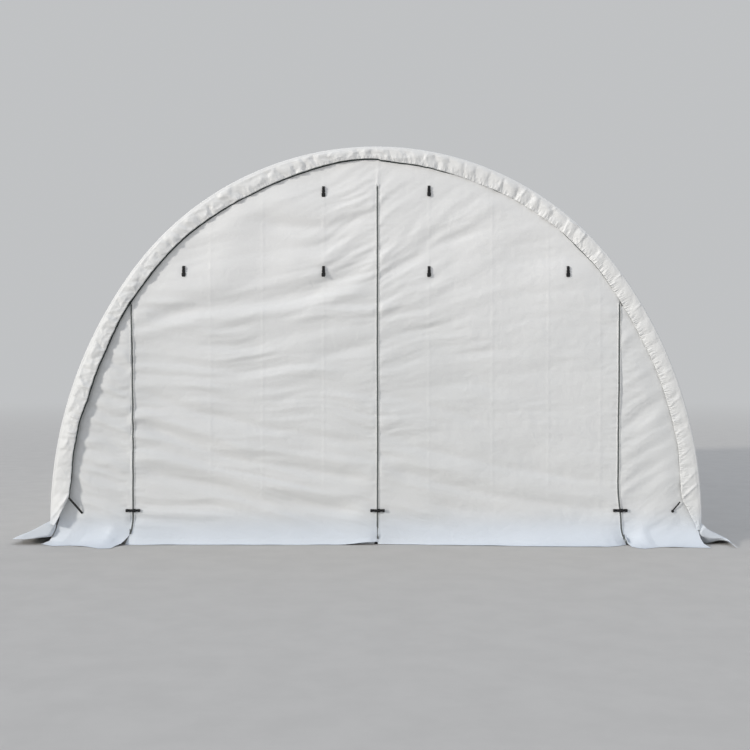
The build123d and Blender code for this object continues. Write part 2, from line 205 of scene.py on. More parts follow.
def noise(p, q, seed):
    """Smooth gradient noise of two arrays, about -1 to 1.

    At each whole number there is a random slope; between them the four nearest slopes are blended
    with the weight 6t^5 - 15t^4 + 10t^3.
    """
    angle = np.random.default_rng(seed).uniform(0, 2 * np.pi, (NOISE_CELLS, NOISE_CELLS))
    slope_p, slope_q = np.cos(angle), np.sin(angle)
    i, j = np.floor(p).astype(int), np.floor(q).astype(int)
    u, v = p - i, q - j

    def corner(di, dj):
        """Height of one corner's slope at the point."""
        a, b = (i + di) % NOISE_CELLS, (j + dj) % NOISE_CELLS
        return slope_p[a, b] * (u - di) + slope_q[a, b] * (v - dj)

    su, sv = u**3 * (u * (6 * u - 15) + 10), v**3 * (v * (6 * v - 15) + 10)
    low = corner(0, 0) * (1 - su) + corner(1, 0) * su
    high = corner(0, 1) * (1 - su) + corner(1, 1) * su
    return 1.5 * (low * (1 - sv) + high * sv)


def crease(n, sharp=0.12):
    """Noise turned into narrow ridges: 1 where the noise is 0, falling away as its size grows."""
    return 1 - np.sqrt(n * n + sharp * sharp)


def smooth(x, low, high):
    """0 below low, 1 above high, and 3t^2 - 2t^3 between."""
    t = np.clip((x - low) / (high - low), 0, 1)
    return t * t * (3 - 2 * t)


def bell(d, width):
    """A bell curve, exp(-(d / width)^2): 1 where d is 0."""
    return np.exp(-np.square(d / width))


def line_fold(x, z, points, width, fade=0.25):
    """1 on a bent line, falling as exp(-(distance / width)^2), and fading at its two ends."""
    across = np.full(x.shape, 9.0)
    along = np.zeros(x.shape)
    points = np.array(points)
    steps = np.hypot(*np.diff(points, axis=0).T)
    begin = np.concatenate([[0], np.cumsum(steps)])
    for (ax, az), (bx, bz), at, step in zip(points[:-1], points[1:], begin, steps):
        t = np.clip(((x - ax) * (bx - ax) + (z - az) * (bz - az)) / step**2, 0, 1)
        away = np.hypot(x - ax - t * (bx - ax), z - az - t * (bz - az))
        nearer = away < across
        across = np.where(nearer, away, across)
        along = np.where(nearer, at + t * step, along)
    ends = smooth(along, -0.05, fade) * smooth(begin[-1] - along, -0.05, fade)
    return bell(across, width) * ends


# %% [markdown]
# ## The front wall's relief
# The front wall hangs in long shallow folds that run out from the centre zipper, where the cloth is
# drawn together. To the left they rise towards the zipper high up and sink towards it low down, and
# to the right they open like a fan. One height field serves the doors, the corner panels, the
# zippers and the straps, so that all of them stay on one surface.

# %% Height of the front wall
ZIP_CENTRE = 0.014
ZIP_SIDE = 2.295
DEEP_FOLDS = [
    # (points in x and z, width, depth): valleys are positive, ridges negative
    ([(-2.15, 2.10), (-1.67, 2.215), (-1.02, 2.29), (-0.61, 2.374), (-0.34, 2.496), (0.0, 2.63)],
     0.070, 0.029),
    ([(-2.25, 1.98), (-1.67, 2.09), (-1.02, 2.15), (-0.61, 2.22), (-0.34, 2.32), (0.0, 2.44)],
     0.065, -0.018),
    ([(-1.15, 3.03), (-0.71, 2.974), (-0.44, 2.974), (-0.24, 3.04), (0.0, 3.17)], 0.055, 0.015),
    ([(-1.10, 2.90), (-0.71, 2.86), (-0.44, 2.87), (-0.24, 2.93), (0.0, 3.04)], 0.050, -0.006),
    ([(-0.80, 2.63), (-0.45, 2.608), (-0.24, 2.74), (0.0, 2.87)], 0.050, 0.012),
    ([(-2.30, 0.72), (-1.60, 0.56), (-1.06, 0.413), (-0.12, 0.31)], 0.060, 0.030),
    ([(-2.30, 0.86), (-1.60, 0.69), (-1.06, 0.545), (-0.12, 0.44)], 0.050, -0.017),
    ([(-2.26, 1.155), (-1.70, 0.93), (-1.25, 0.77), (-0.05, 0.60)], 0.055, 0.027),
    ([(-2.26, 1.27), (-1.70, 1.05), (-1.25, 0.90), (-0.05, 0.74)], 0.045, -0.013),
    ([(-2.26, 1.45), (-1.60, 1.22), (-0.90, 1.06), (-0.05, 0.93)], 0.050, 0.016),
    ([(-2.26, 1.78), (-1.30, 1.62), (-0.60, 1.72), (0.0, 1.90)], 0.055, 0.012),
    ([(0.05, 0.70), (1.17, 0.44), (2.26, 0.30)], 0.055, 0.021),
    ([(0.05, 0.83), (1.17, 0.57), (2.26, 0.42)], 0.050, -0.010),
    ([(0.05, 1.02), (0.60, 0.86), (1.30, 0.70), (2.2, 0.57)], 0.050, 0.013),
    ([(0.05, 1.42), (0.50, 1.30), (1.1, 1.12)], 0.045, 0.008),
    ([(0.05, 2.40), (0.35, 2.66), (0.62, 3.0)], 0.045, 0.006),
    ([(0.05, 2.62), (0.28, 2.86), (0.45, 3.14)], 0.035, 0.005),
    ([(0.06, 2.10), (0.45, 2.42), (0.95, 2.82)], 0.050, 0.005),
    ([(0.06, 3.30), (0.16, 3.42), (0.26, 3.56)], 0.035, -0.004),
    ([(2.732, 0.273), (2.488, 0.164)], 0.032, -0.011),
    ([(2.756, 0.219), (2.56, 0.12), (2.40, 0.03)], 0.034, 0.010),
    ([(2.85, 0.33), (2.86, 0.08)], 0.022, 0.008),
    ([(2.90, 0.30), (2.93, 0.08)], 0.022, -0.006),
    ([(2.32, 1.10), (2.56, 1.22), (2.76, 1.40)], 0.045, 0.006),
    ([(2.32, 1.45), (2.52, 1.55), (2.66, 1.70)], 0.040, 0.005),
    ([(2.34, 0.62), (2.60, 0.72), (2.84, 0.90)], 0.050, 0.006),
    ([(-2.34, 1.30), (-2.56, 1.42), (-2.74, 1.52)], 0.045, 0.005),
    ([(-2.34, 0.86), (-2.58, 0.96), (-2.84, 1.08)], 0.050, 0.006),
]
# places of the upright marks that folding left, and the height of the level one
FOLD_MARKS = [-1.548, -1.06, -0.488, 0.497, 1.088, 1.613, 2.10]
LEVEL_MARK = 2.993


def fan(x, z):
    """Straightens the fan of folds: the height at the centre zipper of the fold through (x, z).

    Right of the zipper a fold that starts at height h runs on at h + f (0.508 h - 0.576), and left of
    it at h + f (0.46 - 0.30 h), with f = 1.6 (1 - exp(-d / 1.6)) at a distance d from the zipper. A slow
    wander of up to 90 mm keeps the folds from being parallel.
    """
    d = np.abs(x - ZIP_CENTRE)
    f = 1.6 * (1 - np.exp(-d / 1.6))
    z = (z + 0.09 * noise(x / 0.95, z / 0.45, 21) * smooth(d, 0.0, 0.5)
         + 0.012 * noise(x / 0.25, z / 0.2, 22))
    right = (z + 0.576 * f) / (1 + 0.508 * f)
    left = (z - 0.46 * f) / (1 - 0.30 * f)
    return np.where(x > ZIP_CENTRE, right, left), d


def wall_height(x, z):
    """How far the front wall stands out from its flat face, in metres.

    The doors add up broad, middle and fine noise stretched along the fan's folds, and the corner
    panels noise of their own. The placed folds come on top, pulls at the three zippers and low marks
    of folding. The sum is 20 mm up, shrinks to 0.22 of itself at the arch, and is kept softly above
    the face, or above 16 mm behind it on the doors.
    """
    h, d = fan(x, z)
    over = np.abs(x)
    far = np.sign(x) * d
    near_zip = np.exp(-d / 0.9)
    near_side_zip = np.exp(-(2.28 - over) / 0.25)
    above = z - np.interp(x, [-2.3, -1.0, -0.5, 0.0], [2.15, 2.40, 2.65, 3.20])
    shoulder = smooth(above, 0.0, 0.15) * smooth(-x, 0.2, 0.6)
    loose = (0.45 + 0.9 * smooth(noise(x / 0.7, z / 0.35, 23), -0.4, 0.5)) * (1 - 0.65 * shoulder)
    calm = np.where(x > 0, 0.62 + 0.50 * near_zip, 1.0) * loose
    broad = noise(far / 0.95, h / 0.150, 11) * 0.0195 * calm
    broad += noise(x / 0.60, z / 0.42, 24) * 0.030 * (0.35 + 0.65 * shoulder)
    middle = noise(far / 0.42 + 3.3, h / 0.064, 12) * 0.0074 * (0.40 + 0.75 * near_zip) * loose
    fine = crease(noise(far / 0.20, h / 0.032, 13), 0.06) * 0.0038 * (0.30 + near_zip) * loose
    crinkle = crease(noise(x / 0.13 + 9, z / 0.11, 17), 0.05) * 0.0034 * smooth(x, 0.2, 1.0)
    crinkle += crease(noise(x / 0.11 + 2, z / 0.028, 18), 0.08) * 0.0016 * (0.4 + 0.6 * near_side_zip)
    slope = np.where(x > 0, 0.62, 0.33)
    pitch = np.where(x > 0, 0.130, 0.100)
    lift = z - slope * (over - ZIP_SIDE) + 0.03 * noise(x / 0.22, z / 0.20, 19)
    corner_folds = noise(x / 0.45, lift / pitch, 14) * np.where(x > 0, 0.0150, 0.0200)
    corner_folds += crease(noise(x / 0.25, lift / 0.050, 15)) * 0.0030
    total = np.where(over > ZIP_SIDE, corner_folds, broad + middle + fine + crinkle)
    for points, width, depth in DEEP_FOLDS:
        total = total - depth * line_fold(x, z, points, width)
    for at in (-ZIP_SIDE, ZIP_CENTRE, ZIP_SIDE):
        off = np.abs(x - at)
        pull = noise(np.sign(x - at) * 5 + off / 0.30, z / 0.034 + off * 2, 16) * 0.0075
        flatter = 1 - 0.6 * bell(off, 0.03)
        total = total * flatter + pull * np.exp(-off / 0.085) * smooth(off, 0.004, 0.05)
    for at in FOLD_MARKS:
        total = total + 0.0018 * bell(x - at, 0.010) * smooth(z, 0.3, 0.6)
    total = total + 0.0010 * bell(z - LEVEL_MARK, 0.009)
    top = line_fold(x, z, [(ZIP_CENTRE + 0.012, 3.62), (ZIP_CENTRE, 3.34)], 0.014, 0.05)
    total = total + 0.005 * top
    edge = smooth(inside_arch(x, z), 0.08, 0.32)
    height = (0.020 + total) * (0.22 + 0.78 * edge)
    floor = -0.016 * smooth(2.22 - over, 0.0, 0.15) * edge
    return floor + 0.5 * (height - floor + np.hypot(height - floor, 0.004))


test = wall_height(*np.meshgrid(np.linspace(-2.9, 2.9, 60), np.linspace(0.3, 2.2, 40)))
print(f"relief from {test.min() * 1000:.1f} to {test.max() * 1000:.1f} mm")

# %% [markdown]
# ## Cloth patterns shared by all materials
# The whole shelter is coated woven cloth in two tones, so the weave, the fine creases and the dust
# are node groups that each material uses with values of its own. The weave follows the UV map, which
# is in metres along the cloth. Dust is driven by the height above the ground.

# %% Node helpers
def group(name, outputs, **numbers):
    """An empty node group: a vector and named numbers go in, named numbers come out."""
    tree = bpy.data.node_groups.new(name, "ShaderNodeTree")
    tree.interface.new_socket("Vector", in_out="INPUT", socket_type="NodeSocketVector")
    for label, value in numbers.items():
        socket = tree.interface.new_socket(label, in_out="INPUT", socket_type="NodeSocketFloat")
        socket.default_value = value
    for label in outputs:
        tree.interface.new_socket(label, in_out="OUTPUT", socket_type="NodeSocketFloat")
    return tree, tree.nodes.new("NodeGroupInput"), tree.nodes.new("NodeGroupOutput")


def fill(node, **values):
    """Sets inputs of a node to plain values; From_Min stands for the input From Min."""
    for label, value in values.items():
        node.inputs[label.replace("_", " ")].default_value = value


def math_node(tree, kind, a, b=None):
    """A Math node: each side is a socket or a number. Returns its output."""
    node = tree.nodes.new("ShaderNodeMath")
    node.operation = kind
    for socket, value in zip(node.inputs, (a, b)):
        if value is None:
            continue
        if isinstance(value, (int, float)):
            socket.default_value = value
        else:
            tree.links.new(value, socket)
    return node.outputs[0]


def times(tree, a, b):
    """A product of two sockets or numbers."""
    return math_node(tree, "MULTIPLY", a, b)


def plus(tree, a, b):
    """A sum of two sockets or numbers."""
    return math_node(tree, "ADD", a, b)


def wave(tree, value, pitch):
    """sin(2 pi value / pitch): threads, teeth or stitches at an even distance."""
    return math_node(tree, "SINE", times(tree, value, math.tau / pitch))


def split(tree, vector):
    """The outputs X, Y and Z of a vector."""
    node = tree.nodes.new("ShaderNodeSeparateXYZ")
    tree.links.new(vector, node.inputs[0])
    return node.outputs


def blend_colours(tree, mask, low, high):
    """A Mix node for colours: low where the mask is 0, high where it is 1."""
    node = tree.nodes.new("ShaderNodeMix")
    node.data_type = "RGBA"
    tree.links.new(mask, node.inputs["Factor"])
    for label, value in (("A", low), ("B", high)):
        socket = next(s for s in node.inputs if s.name == label and s.type == "RGBA")
        if hasattr(value, "is_linked"):
            tree.links.new(value, socket)
        else:
            socket.default_value = (*value, 1.0)
    return next(s for s in node.outputs if s.type == "RGBA")


def ranged(tree, value, low, high, to_low=0.0, to_high=1.0):
    """A Map Range node, clamped and smooth at both ends."""
    node = tree.nodes.new("ShaderNodeMapRange")
    node.interpolation_type = "SMOOTHSTEP"
    tree.links.new(value, node.inputs["Value"])
    fill(node, From_Min=low, From_Max=high, To_Min=to_low, To_Max=to_high)
    return node.outputs["Result"]


def noise_node(tree, vector, scale, detail=3.0, rough=0.55, distortion=0.0):
    """A Noise Texture node on a vector. Returns its value."""
    node = tree.nodes.new("ShaderNodeTexNoise")
    tree.links.new(vector, node.inputs["Vector"])
    fill(node, Scale=scale, Detail=detail, Roughness=rough, Distortion=distortion)
    return node.outputs["Fac"]


print("node helpers ready")


# %% Weave, creases and dust as node groups
def woven_coating():
    """Height of a coated weave: (sin kx + sin ky) / 2, threads 1.4 mm apart, and slubs of noise."""
    tree, inside, outside = group("Woven Coating", ["Height", "Thread"], Pitch=0.0014)
    place = split(tree, inside.outputs["Vector"])
    waves = []
    for axis in ("X", "Y"):
        turns = math_node(tree, "DIVIDE", place[axis], inside.outputs["Pitch"])
        waves.append(math_node(tree, "SINE", times(tree, turns, math.tau)))
    threads = times(tree, plus(tree, *waves), 0.5)
    slub = times(tree, noise_node(tree, inside.outputs["Vector"], 260.0, 2.0), 0.6)
    tree.links.new(plus(tree, threads, slub), outside.inputs["Height"])
    tree.links.new(plus(tree, times(tree, threads, 0.5), 0.5), outside.inputs["Thread"])
    return tree


def handling_creases():
    """Soft creases of folded cloth: the ridges of two warped noises, about 110 mm and 33 mm wide."""
    tree, inside, outside = group("Handling Creases", ["Height"])
    parts = []
    for scale, gain in ((9.0, 1.0), (30.0, 0.35)):
        value = noise_node(tree, inside.outputs["Vector"], scale, 1.0, 0.5, 0.6)
        ridge = math_node(tree, "ABSOLUTE", math_node(tree, "SUBTRACT", value, 0.5))
        parts.append(times(tree, math_node(tree, "SUBTRACT", 0.5, ridge), gain))
    tree.links.new(plus(tree, *parts), outside.inputs["Height"])
    return tree


def ground_dust():
    """Mask of dust and splashes: strongest at the ground, gone above 0.7 m, broken up by noise."""
    tree, inside, outside = group("Ground Dust", ["Mask"])
    place = split(tree, inside.outputs["Vector"])
    patches = noise_node(tree, inside.outputs["Vector"], 5.0, 5.0, 0.65)
    wander = times(tree, math_node(tree, "SUBTRACT", patches, 0.5), 0.5)
    near = ranged(tree, plus(tree, place["Z"], wander), 0.0, 0.42, 1.0, 0.0)
    tree.links.new(times(tree, near, patches), outside.inputs["Mask"])
    return tree


def zinc_spangle():
    """Cells of galvanising: each Voronoi cell has a tone of its own, with fine streaks over it."""
    tree, inside, outside = group("Zinc Spangle", ["Tone", "Height"], Scale=90.0)
    cells = tree.nodes.new("ShaderNodeTexVoronoi")
    for label in ("Vector", "Scale"):
        tree.links.new(inside.outputs[label], cells.inputs[label])
    cell_tone = times(tree, split(tree, cells.outputs["Color"])["X"], 0.55)
    grime = times(tree, noise_node(tree, inside.outputs["Vector"], 4.0, 5.0, 0.6), 0.45)
    tree.links.new(plus(tree, cell_tone, grime), outside.inputs["Tone"])
    tree.links.new(noise_node(tree, inside.outputs["Vector"], 700.0, 2.0), outside.inputs["Height"])
    return tree


WEAVE, CREASES, DUST, SPANGLE = woven_coating(), handling_creases(), ground_dust(), zinc_spangle()
print("groups:", [tree.name for tree in (WEAVE, CREASES, DUST, SPANGLE)])


# %% Material helpers
def new_material(name, roughness, metallic=0.0):
    """A material with one Principled BSDF: itself, its tree and shader, its UV and object places."""
    material = bpy.data.materials.new(name)
    material.use_nodes = True
    tree = material.node_tree
    shader = tree.nodes["Principled BSDF"]
    fill(shader, Roughness=roughness, Metallic=metallic)
    places = tree.nodes.new("ShaderNodeTexCoord").outputs
    return material, tree, shader, places["UV"], places["Object"]


def use_group(tree, source, vector, **values):
    """Places a node group, fed with a vector and plain values. Returns its outputs."""
    node = tree.nodes.new("ShaderNodeGroup")
    node.node_tree = source
    tree.links.new(vector, node.inputs["Vector"])
    fill(node, **values)
    return node.outputs


def bump(tree, height, distance, strength, under=None):
    """A Bump node on a height, over another normal if there is one."""
    node = tree.nodes.new("ShaderNodeBump")
    fill(node, Strength=strength, Distance=distance)
    tree.links.new(height, node.inputs["Height"])
    if under is not None:
        tree.links.new(under, node.inputs["Normal"])
    return node.outputs["Normal"]


def dress(tree, shader, colour, normal, roughness=None):
    """Links a colour, a normal and perhaps a roughness to a shader."""
    for label, source in (("Base Color", colour), ("Normal", normal), ("Roughness", roughness)):
        if source is not None:
            tree.links.new(source, shader.inputs[label])


def stitches(tree, along, seam):
    """Mask of two lines of stitches at UV x = seam and -seam: 3 mm dashes every 6 mm, 1.3 mm wide."""
    place = split(tree, along)
    over = math_node(tree, "ABSOLUTE", place["X"])
    off = math_node(tree, "ABSOLUTE", math_node(tree, "SUBTRACT", over, seam))
    line = ranged(tree, off, 0.0004, 0.0009, 1.0, 0.0)
    return times(tree, line, ranged(tree, wave(tree, place["Y"], 0.006), -0.4, 0.1))


def cloth_material(name, colours, roughness, crease_depth, dust=0.12, seam=None):
    """Coated cloth: a colour darker lower down (painted shade) and in random clouds, a cool foot (painted
    sky light), creases, weave and dust.
    """
    colour, shade, foot = colours
    material, tree, shader, along, local = new_material(name, roughness)
    weave = use_group(tree, WEAVE, along)
    creases = use_group(tree, CREASES, local)
    soil = use_group(tree, DUST, local)
    height = split(tree, local)["Z"]
    # painted shade: lower down the colour turns to the darker shade, so the cloth is lighter above; the
    # cloud adds random tone
    low = ranged(tree, height, 1.3, 3.2, 0.90, 0.0)
    cloud = ranged(tree, noise_node(tree, local, 0.9, 4.0, 0.6), 0.35, 0.7, -0.15, 0.25)
    painted_shade_and_tone_drift = plus(tree, low, cloud)
    tone = blend_colours(tree, painted_shade_and_tone_drift, colour, shade)
    # painted sky light: near the ground each cloth turns to its cool bluish foot colour, on the cover
    # darker too as painted shade
    tone = blend_colours(tree, ranged(tree, height, 0.08, 0.38, 0.90, 0.0), tone, foot)
    threads = ranged(tree, weave["Thread"], 0.0, 1.0, 0.0, 0.10)
    tone = blend_colours(tree, threads, tone, [c * 0.86 for c in colour])
    dusty = times(tree, soil["Mask"], dust)
    tone = blend_colours(tree, dusty, tone, (0.50, 0.46, 0.40))
    fine = bump(tree, weave["Height"], 0.00010, 0.35)
    if seam:
        thread = stitches(tree, along, seam)
        tone = blend_colours(tree, times(tree, thread, 0.5), tone, [c * 0.72 for c in colour])
        fine = bump(tree, thread, 0.0008, 0.6, fine)
    rough = plus(tree, times(tree, painted_shade_and_tone_drift, 0.06), roughness - 0.03)
    rough = plus(tree, rough, times(tree, dusty, 0.25))
    dress(tree, shader, tone, bump(tree, creases["Height"], crease_depth, 0.5, fine), rough)
    fill(shader, Specular_IOR_Level=0.35)
    return material


# each cloth's colours: above, lower down (darker, as painted shade), and at its foot (cool and bluish, as
# painted sky light)
COVER_COLOURS = ((0.84, 0.845, 0.842), (0.77, 0.777, 0.772), (0.66, 0.72, 0.79))
WALL_COLOURS = ((0.86, 0.865, 0.865), (0.748, 0.76, 0.761), (0.74, 0.805, 0.885))
EDGE_COLOURS = ((0.84, 0.845, 0.842), (0.785, 0.792, 0.788), (0.74, 0.805, 0.885))
COVER_CLOTH = cloth_material("cover_cloth", COVER_COLOURS, 0.46, 0.012)
WALL_CLOTH = cloth_material("wall_cloth", WALL_COLOURS, 0.50, 0.009)
EDGE_CLOTH = cloth_material("stitched_edge_cloth", EDGE_COLOURS, 0.48, 0.003, seam=0.0115)
print("cloth:", COVER_CLOTH.name, WALL_CLOTH.name, EDGE_CLOTH.name)

# %% [markdown]
# ## The puckered hem band
# The cover is longer than the frame. A cord in its hem draws the edge inwards round the arch, so the
# cloth turns over the front tube and its spare width gathers in puckers at the inner edge. The band
# could be a plain ring with a bump map, but the puckers show in its outline and in its shadow on the
# wall. So it is a profile carried along the arch: over the tube, round a soft shoulder, down the face
# and round the small rolled hem, with folds that grow towards the drawn edge.

# %% Width of the band along the arch
BAND_WIDTH = np.array([
    # (distance along the arch, width of the band), measured across the tube
    (0.06, 0.030), (0.092, 0.037), (0.185, 0.056), (0.251, 0.093), (0.455, 0.178), (0.621, 0.181),
    (0.815, 0.169), (1.011, 0.166), (1.208, 0.162), (1.416, 0.178), (1.719, 0.168), (1.931, 0.168),
    (2.247, 0.152), (2.436, 0.149), (2.616, 0.155), (2.783, 0.155), (3.084, 0.153), (3.351, 0.156),
    (3.593, 0.164), (3.827, 0.167), (4.047, 0.172), (4.374, 0.160), (4.581, 0.150), (4.784, 0.134),
    (4.983, 0.117), (5.178, 0.110), (5.352, 0.112), (5.380, 0.124), (5.566, 0.140), (5.762, 0.144),
    (5.964, 0.153), (6.168, 0.159), (6.379, 0.167), (6.590, 0.161), (6.809, 0.157), (7.046, 0.160),
    (7.284, 0.151), (7.557, 0.156), (7.840, 0.148), (8.189, 0.156), (8.578, 0.158), (8.794, 0.155),
    (9.036, 0.151), (9.258, 0.155), (9.558, 0.156), (9.755, 0.157), (9.947, 0.174), (10.141, 0.183),
    (10.230, 0.176), (10.400, 0.100), (10.480, 0.056), (10.573, 0.037), (10.605, 0.030)])
STAND_OFF = np.array([
    # (distance along the arch, how far the inner edge stands in front of the frame's plane)
    (0.0, 0.100), (0.20, 0.116), (0.32, 0.122), (0.45, 0.104), (0.70, 0.084), (1.05, 0.098), (1.60, 0.088),
    (2.20, 0.070), (2.80, 0.058), (3.40, 0.054), (4.30, 0.052), (5.33, 0.052), (6.20, 0.046), (7.20, 0.044),
    (8.30, 0.050), (9.60, 0.056), (10.20, 0.060), (10.67, 0.062)])
# middles of the tucks, as distances along the arch
TUCKS = [1.00, 1.26, 1.50, 1.93, 2.40]
BAND_CREASES = [
    # (points in x and z, width, how far the crease stands out)
    ([(2.83, 0.41), (2.99, 0.56)], 0.012, 0.010), ([(2.84, 0.53), (2.98, 0.68)], 0.012, 0.005),
    ([(2.82, 0.80), (2.93, 0.90)], 0.012, 0.004), ([(2.78, 1.02), (2.90, 1.10)], 0.012, 0.004),
    ([(2.70, 1.27), (2.84, 1.38)], 0.014, 0.005), ([(2.62, 1.55), (2.75, 1.64)], 0.012, 0.004),
    ([(-3.035, 0.24), (-2.858, 0.456)], 0.018, 0.012),
    ([(-2.85, 1.21), (-2.76, 1.175)], 0.010, 0.011), ([(-2.83, 1.165), (-2.755, 1.140)], 0.010, 0.009),
    ([(-2.81, 1.12), (-2.76, 1.105)], 0.010, 0.007), ([(-2.87, 1.06), (-2.78, 1.04)], 0.010, 0.011),
    ([(-2.85, 1.015), (-2.78, 1.00)], 0.010, 0.009), ([(-2.84, 0.97), (-2.785, 0.965)], 0.010, 0.007),
    ([(-2.90, 0.93), (-2.86, 0.99)], 0.020, 0.010), ([(-2.78, 1.60), (-2.71, 1.47)], 0.020, 0.009),
    ([(-2.86, 1.26), (-2.80, 1.38)], 0.025, 0.008),
    ([(1.342, 3.244), (1.405, 3.324)], 0.014, 0.007), ([(1.626, 3.118), (1.70, 3.15)], 0.014, 0.006),
    ([(1.149, 3.339), (1.181, 3.419)], 0.014, 0.006),
    ([(1.756, 2.93), (1.80, 3.02), (1.92, 2.97)], 0.014, 0.009),
    ([(1.915, 2.845), (1.978, 2.941)], 0.014, 0.007), ([(2.058, 2.686), (2.106, 2.749)], 0.012, 0.006),
    ([(2.249, 2.494), (2.313, 2.542)], 0.012, 0.006), ([(2.42, 2.20), (2.50, 2.27)], 0.012, 0.005)]
# where one fold of the band lies over the next, as distances along the arch
BAND_OVERLAPS = [0.908, 1.236, 1.418]
print("band from", BAND_WIDTH[:, 1].min(), "to", BAND_WIDTH[:, 1].max(), "m wide")


# %% Hem band surface
# reach over the tube, radius of the shoulder, reach and forward distance of the face's upper edge,
# radius of the rolled hem, and the place along the band that gives the cloth's length for its UV map
BAND_REACH = 0.0318
SHOULDER = 0.018
FACE_REACH = 0.0138
FACE_FORWARD = 0.070
HEM_ROLL = 0.006
UV_COLUMN = 700


def band_profile(rows):
    """The band's section: over the tube, a quarter round shoulder, the face, and the rolled hem.

    Returns the number of the stretch (0 to 3) and the part of the way along it (0 to 1) of every row.
    """
    counts = (5, 9, rows - 24, 10)
    kinds = np.concatenate([np.full(n, float(k)) for k, n in enumerate(counts)])
    ways = np.concatenate([np.linspace(0, 1, n, endpoint=k == 3) for k, n in enumerate(counts)])
    return kinds, ways


def hem_band(columns=2000, rows=46, seed=31, face=-1):
    """Grid of the hem band: for each s on the arch the profile in reach r and forward distance f.

    Over the tube r rises to 0.0318; the shoulder is a quarter circle of 18 mm; the face runs to the
    inner edge with a swell of 3 mm; the hem turns behind on a circle of 6 mm. The face is pushed out by
    pillows, 13 mm sqrt(sin(pi p)^2 + 0.004) with p one more each 140 mm, by noise, folds and facets
    over bent lines, and by puckers that grow with the square and the cube of the way to the inner edge.
    """
    way = np.linspace(0, 1, columns)
    s = 0.15 + (ARCH_LENGTH - 0.30) * way
    if face < 0:
        pace = np.where(np.linspace(0, 1, 4000) > 0.70, 1.7, 1.0)
        total = np.concatenate([[0], np.cumsum(pace)[:-1]])
        s = 0.19 + (ARCH_LENGTH - 0.33) * np.interp(way * total[-1], total, np.linspace(0, 1, 4000))
    s = s[:, None]
    kind, t = (v[None, :] for v in band_profile(rows))
    width = np.interp(s, *BAND_WIDTH.T)
    off = np.interp(s, *STAND_OFF.T)
    if face > 0:
        width = np.interp(np.abs(s - ARCH_LENGTH / 2), [0, 4.6, 4.95, 5.33], [0.152, 0.165, 0.150, 0.030])
        off = np.full(s.shape, 0.058)
    inward = np.where(kind == 2, t, np.where(kind == 3, 1.0, 0.0))
    left_low = smooth(-s, -2.1, -0.9)
    right = smooth(s, 7.4, 8.2)
    grown = 0.55 * smooth(inward, 0.0, 0.14) + 0.28 * smooth(inward, 0.05, 0.45) + 0.17 * inward
    down = inward * width
    bent_s = s + 0.035 * noise(s / 0.13, down / 0.11, seed + 7) - 0.25 * down
    bent_d = down + 0.025 * noise(s / 0.11 + 5, down / 0.10, seed + 8)
    swell = noise(bent_s / 0.130, bent_d / 0.120, seed) * 0.0110
    pillow_way = (bent_s + 0.05 * noise(s / 0.37, s * 0 + 0.5, seed + 9)) / 0.140
    swell = swell + 0.0130 * np.sqrt(np.sin(np.pi * pillow_way) ** 2 + 0.004)
    folds = crease(noise(bent_s / 0.085, bent_d / 0.095, seed + 1), 0.020) * 0.0120
    facets = crease(noise(bent_s / 0.040, bent_d / 0.050, seed + 6), 0.03) * 0.0018
    gather = noise((s - 0.4 * down) / 0.027, inward * 1.4 + s, seed + 5) * 0.0065 * inward**2
    pucker_size = 0.0034 + 0.0036 * smooth(s, 5.3, 5.8)
    edge_pucker = noise(s / 0.0115, inward * 2.0 + s, seed + 2) * pucker_size * inward**3
    edge_pucker = edge_pucker * (1 + 0.9 * right * (1 - smooth(s, 9.3, 9.9)))
    top_share = (1 - 0.62 * left_low) * (1 - 0.55 * right)
    out = grown * (swell + (folds + facets) * (1 - 0.45 * smooth(s, 5.6, 6.2))) * top_share
    out += (gather + edge_pucker) * (1 - 0.80 * left_low) * (1 - 0.20 * right)
    out += 0.0020 * noise(s / 0.20, inward * 2.2, seed + 3)
    if face < 0:
        for at in TUCKS:
            near = bell(s - at, 0.16)
            close = bell(s - at, 0.075)
            fan_lines = np.sin((s - at) / (0.020 + 0.030 * (1 - inward))) * close
            out += 0.0034 * fan_lines * inward**1.4
            out -= 0.0050 * bell(s - at, 0.016) * (0.3 + 0.7 * inward)
            out += 0.0030 * near * inward * (1 - inward) * 4
        for at in BAND_OVERLAPS:
            lap = 0.0042 * smooth(s, at - 0.003, at + 0.003) * smooth(-s, -(at + 0.11), -at)
            out += lap * smooth(inward, 0.0, 0.2)
    edge_r = COVER_REACH - width
    edge_r = edge_r + 0.0016 * noise(s / 0.05, s * 0 + 0.5, seed + 4) * smooth(width, 0.08, 0.15)
    run = np.maximum(FACE_REACH - edge_r - HEM_ROLL, 0.001)
    step = np.interp(s, [5.345, 5.372], [0.0, 1.0]) * np.interp(s, [5.38, 5.60], [1.0, 0.0])
    turn = t * np.pi / 2
    curl = t * 1.25 * np.pi
    stretch = [kind == 0, kind == 1, kind == 2]
    face_f = FACE_FORWARD + (off - FACE_FORWARD) * t + 0.003 * np.sin(np.pi * t) + 0.004 * step * t
    forward = [-0.06 + 0.112 * t, FACE_FORWARD - SHOULDER + SHOULDER * np.sin(turn), face_f]
    f = np.select(stretch, forward, off - HEM_ROLL + HEM_ROLL * np.cos(curl))
    reach = [BAND_REACH - 0.0035 * (1 - t), FACE_REACH + SHOULDER * np.cos(turn), FACE_REACH - run * t]
    r = np.select(stretch, reach, edge_r + HEM_ROLL - HEM_ROLL * np.sin(curl))
    x, z, _, _ = arch(s + 0 * t, r)
    f = f + out
    if face < 0:
        for points, broad, raised in BAND_CREASES:
            f = f + raised * line_fold(x, z, points, broad, 0.05) * (kind == 2)
    steps = np.hypot(np.diff(r[UV_COLUMN]), np.diff(f[UV_COLUMN]))
    length = np.concatenate([[0], np.cumsum(steps)])[None, :]
    return grid(x, face * (FRAME_HALF + f), np.maximum(z, 0.004)), grid(s, length)


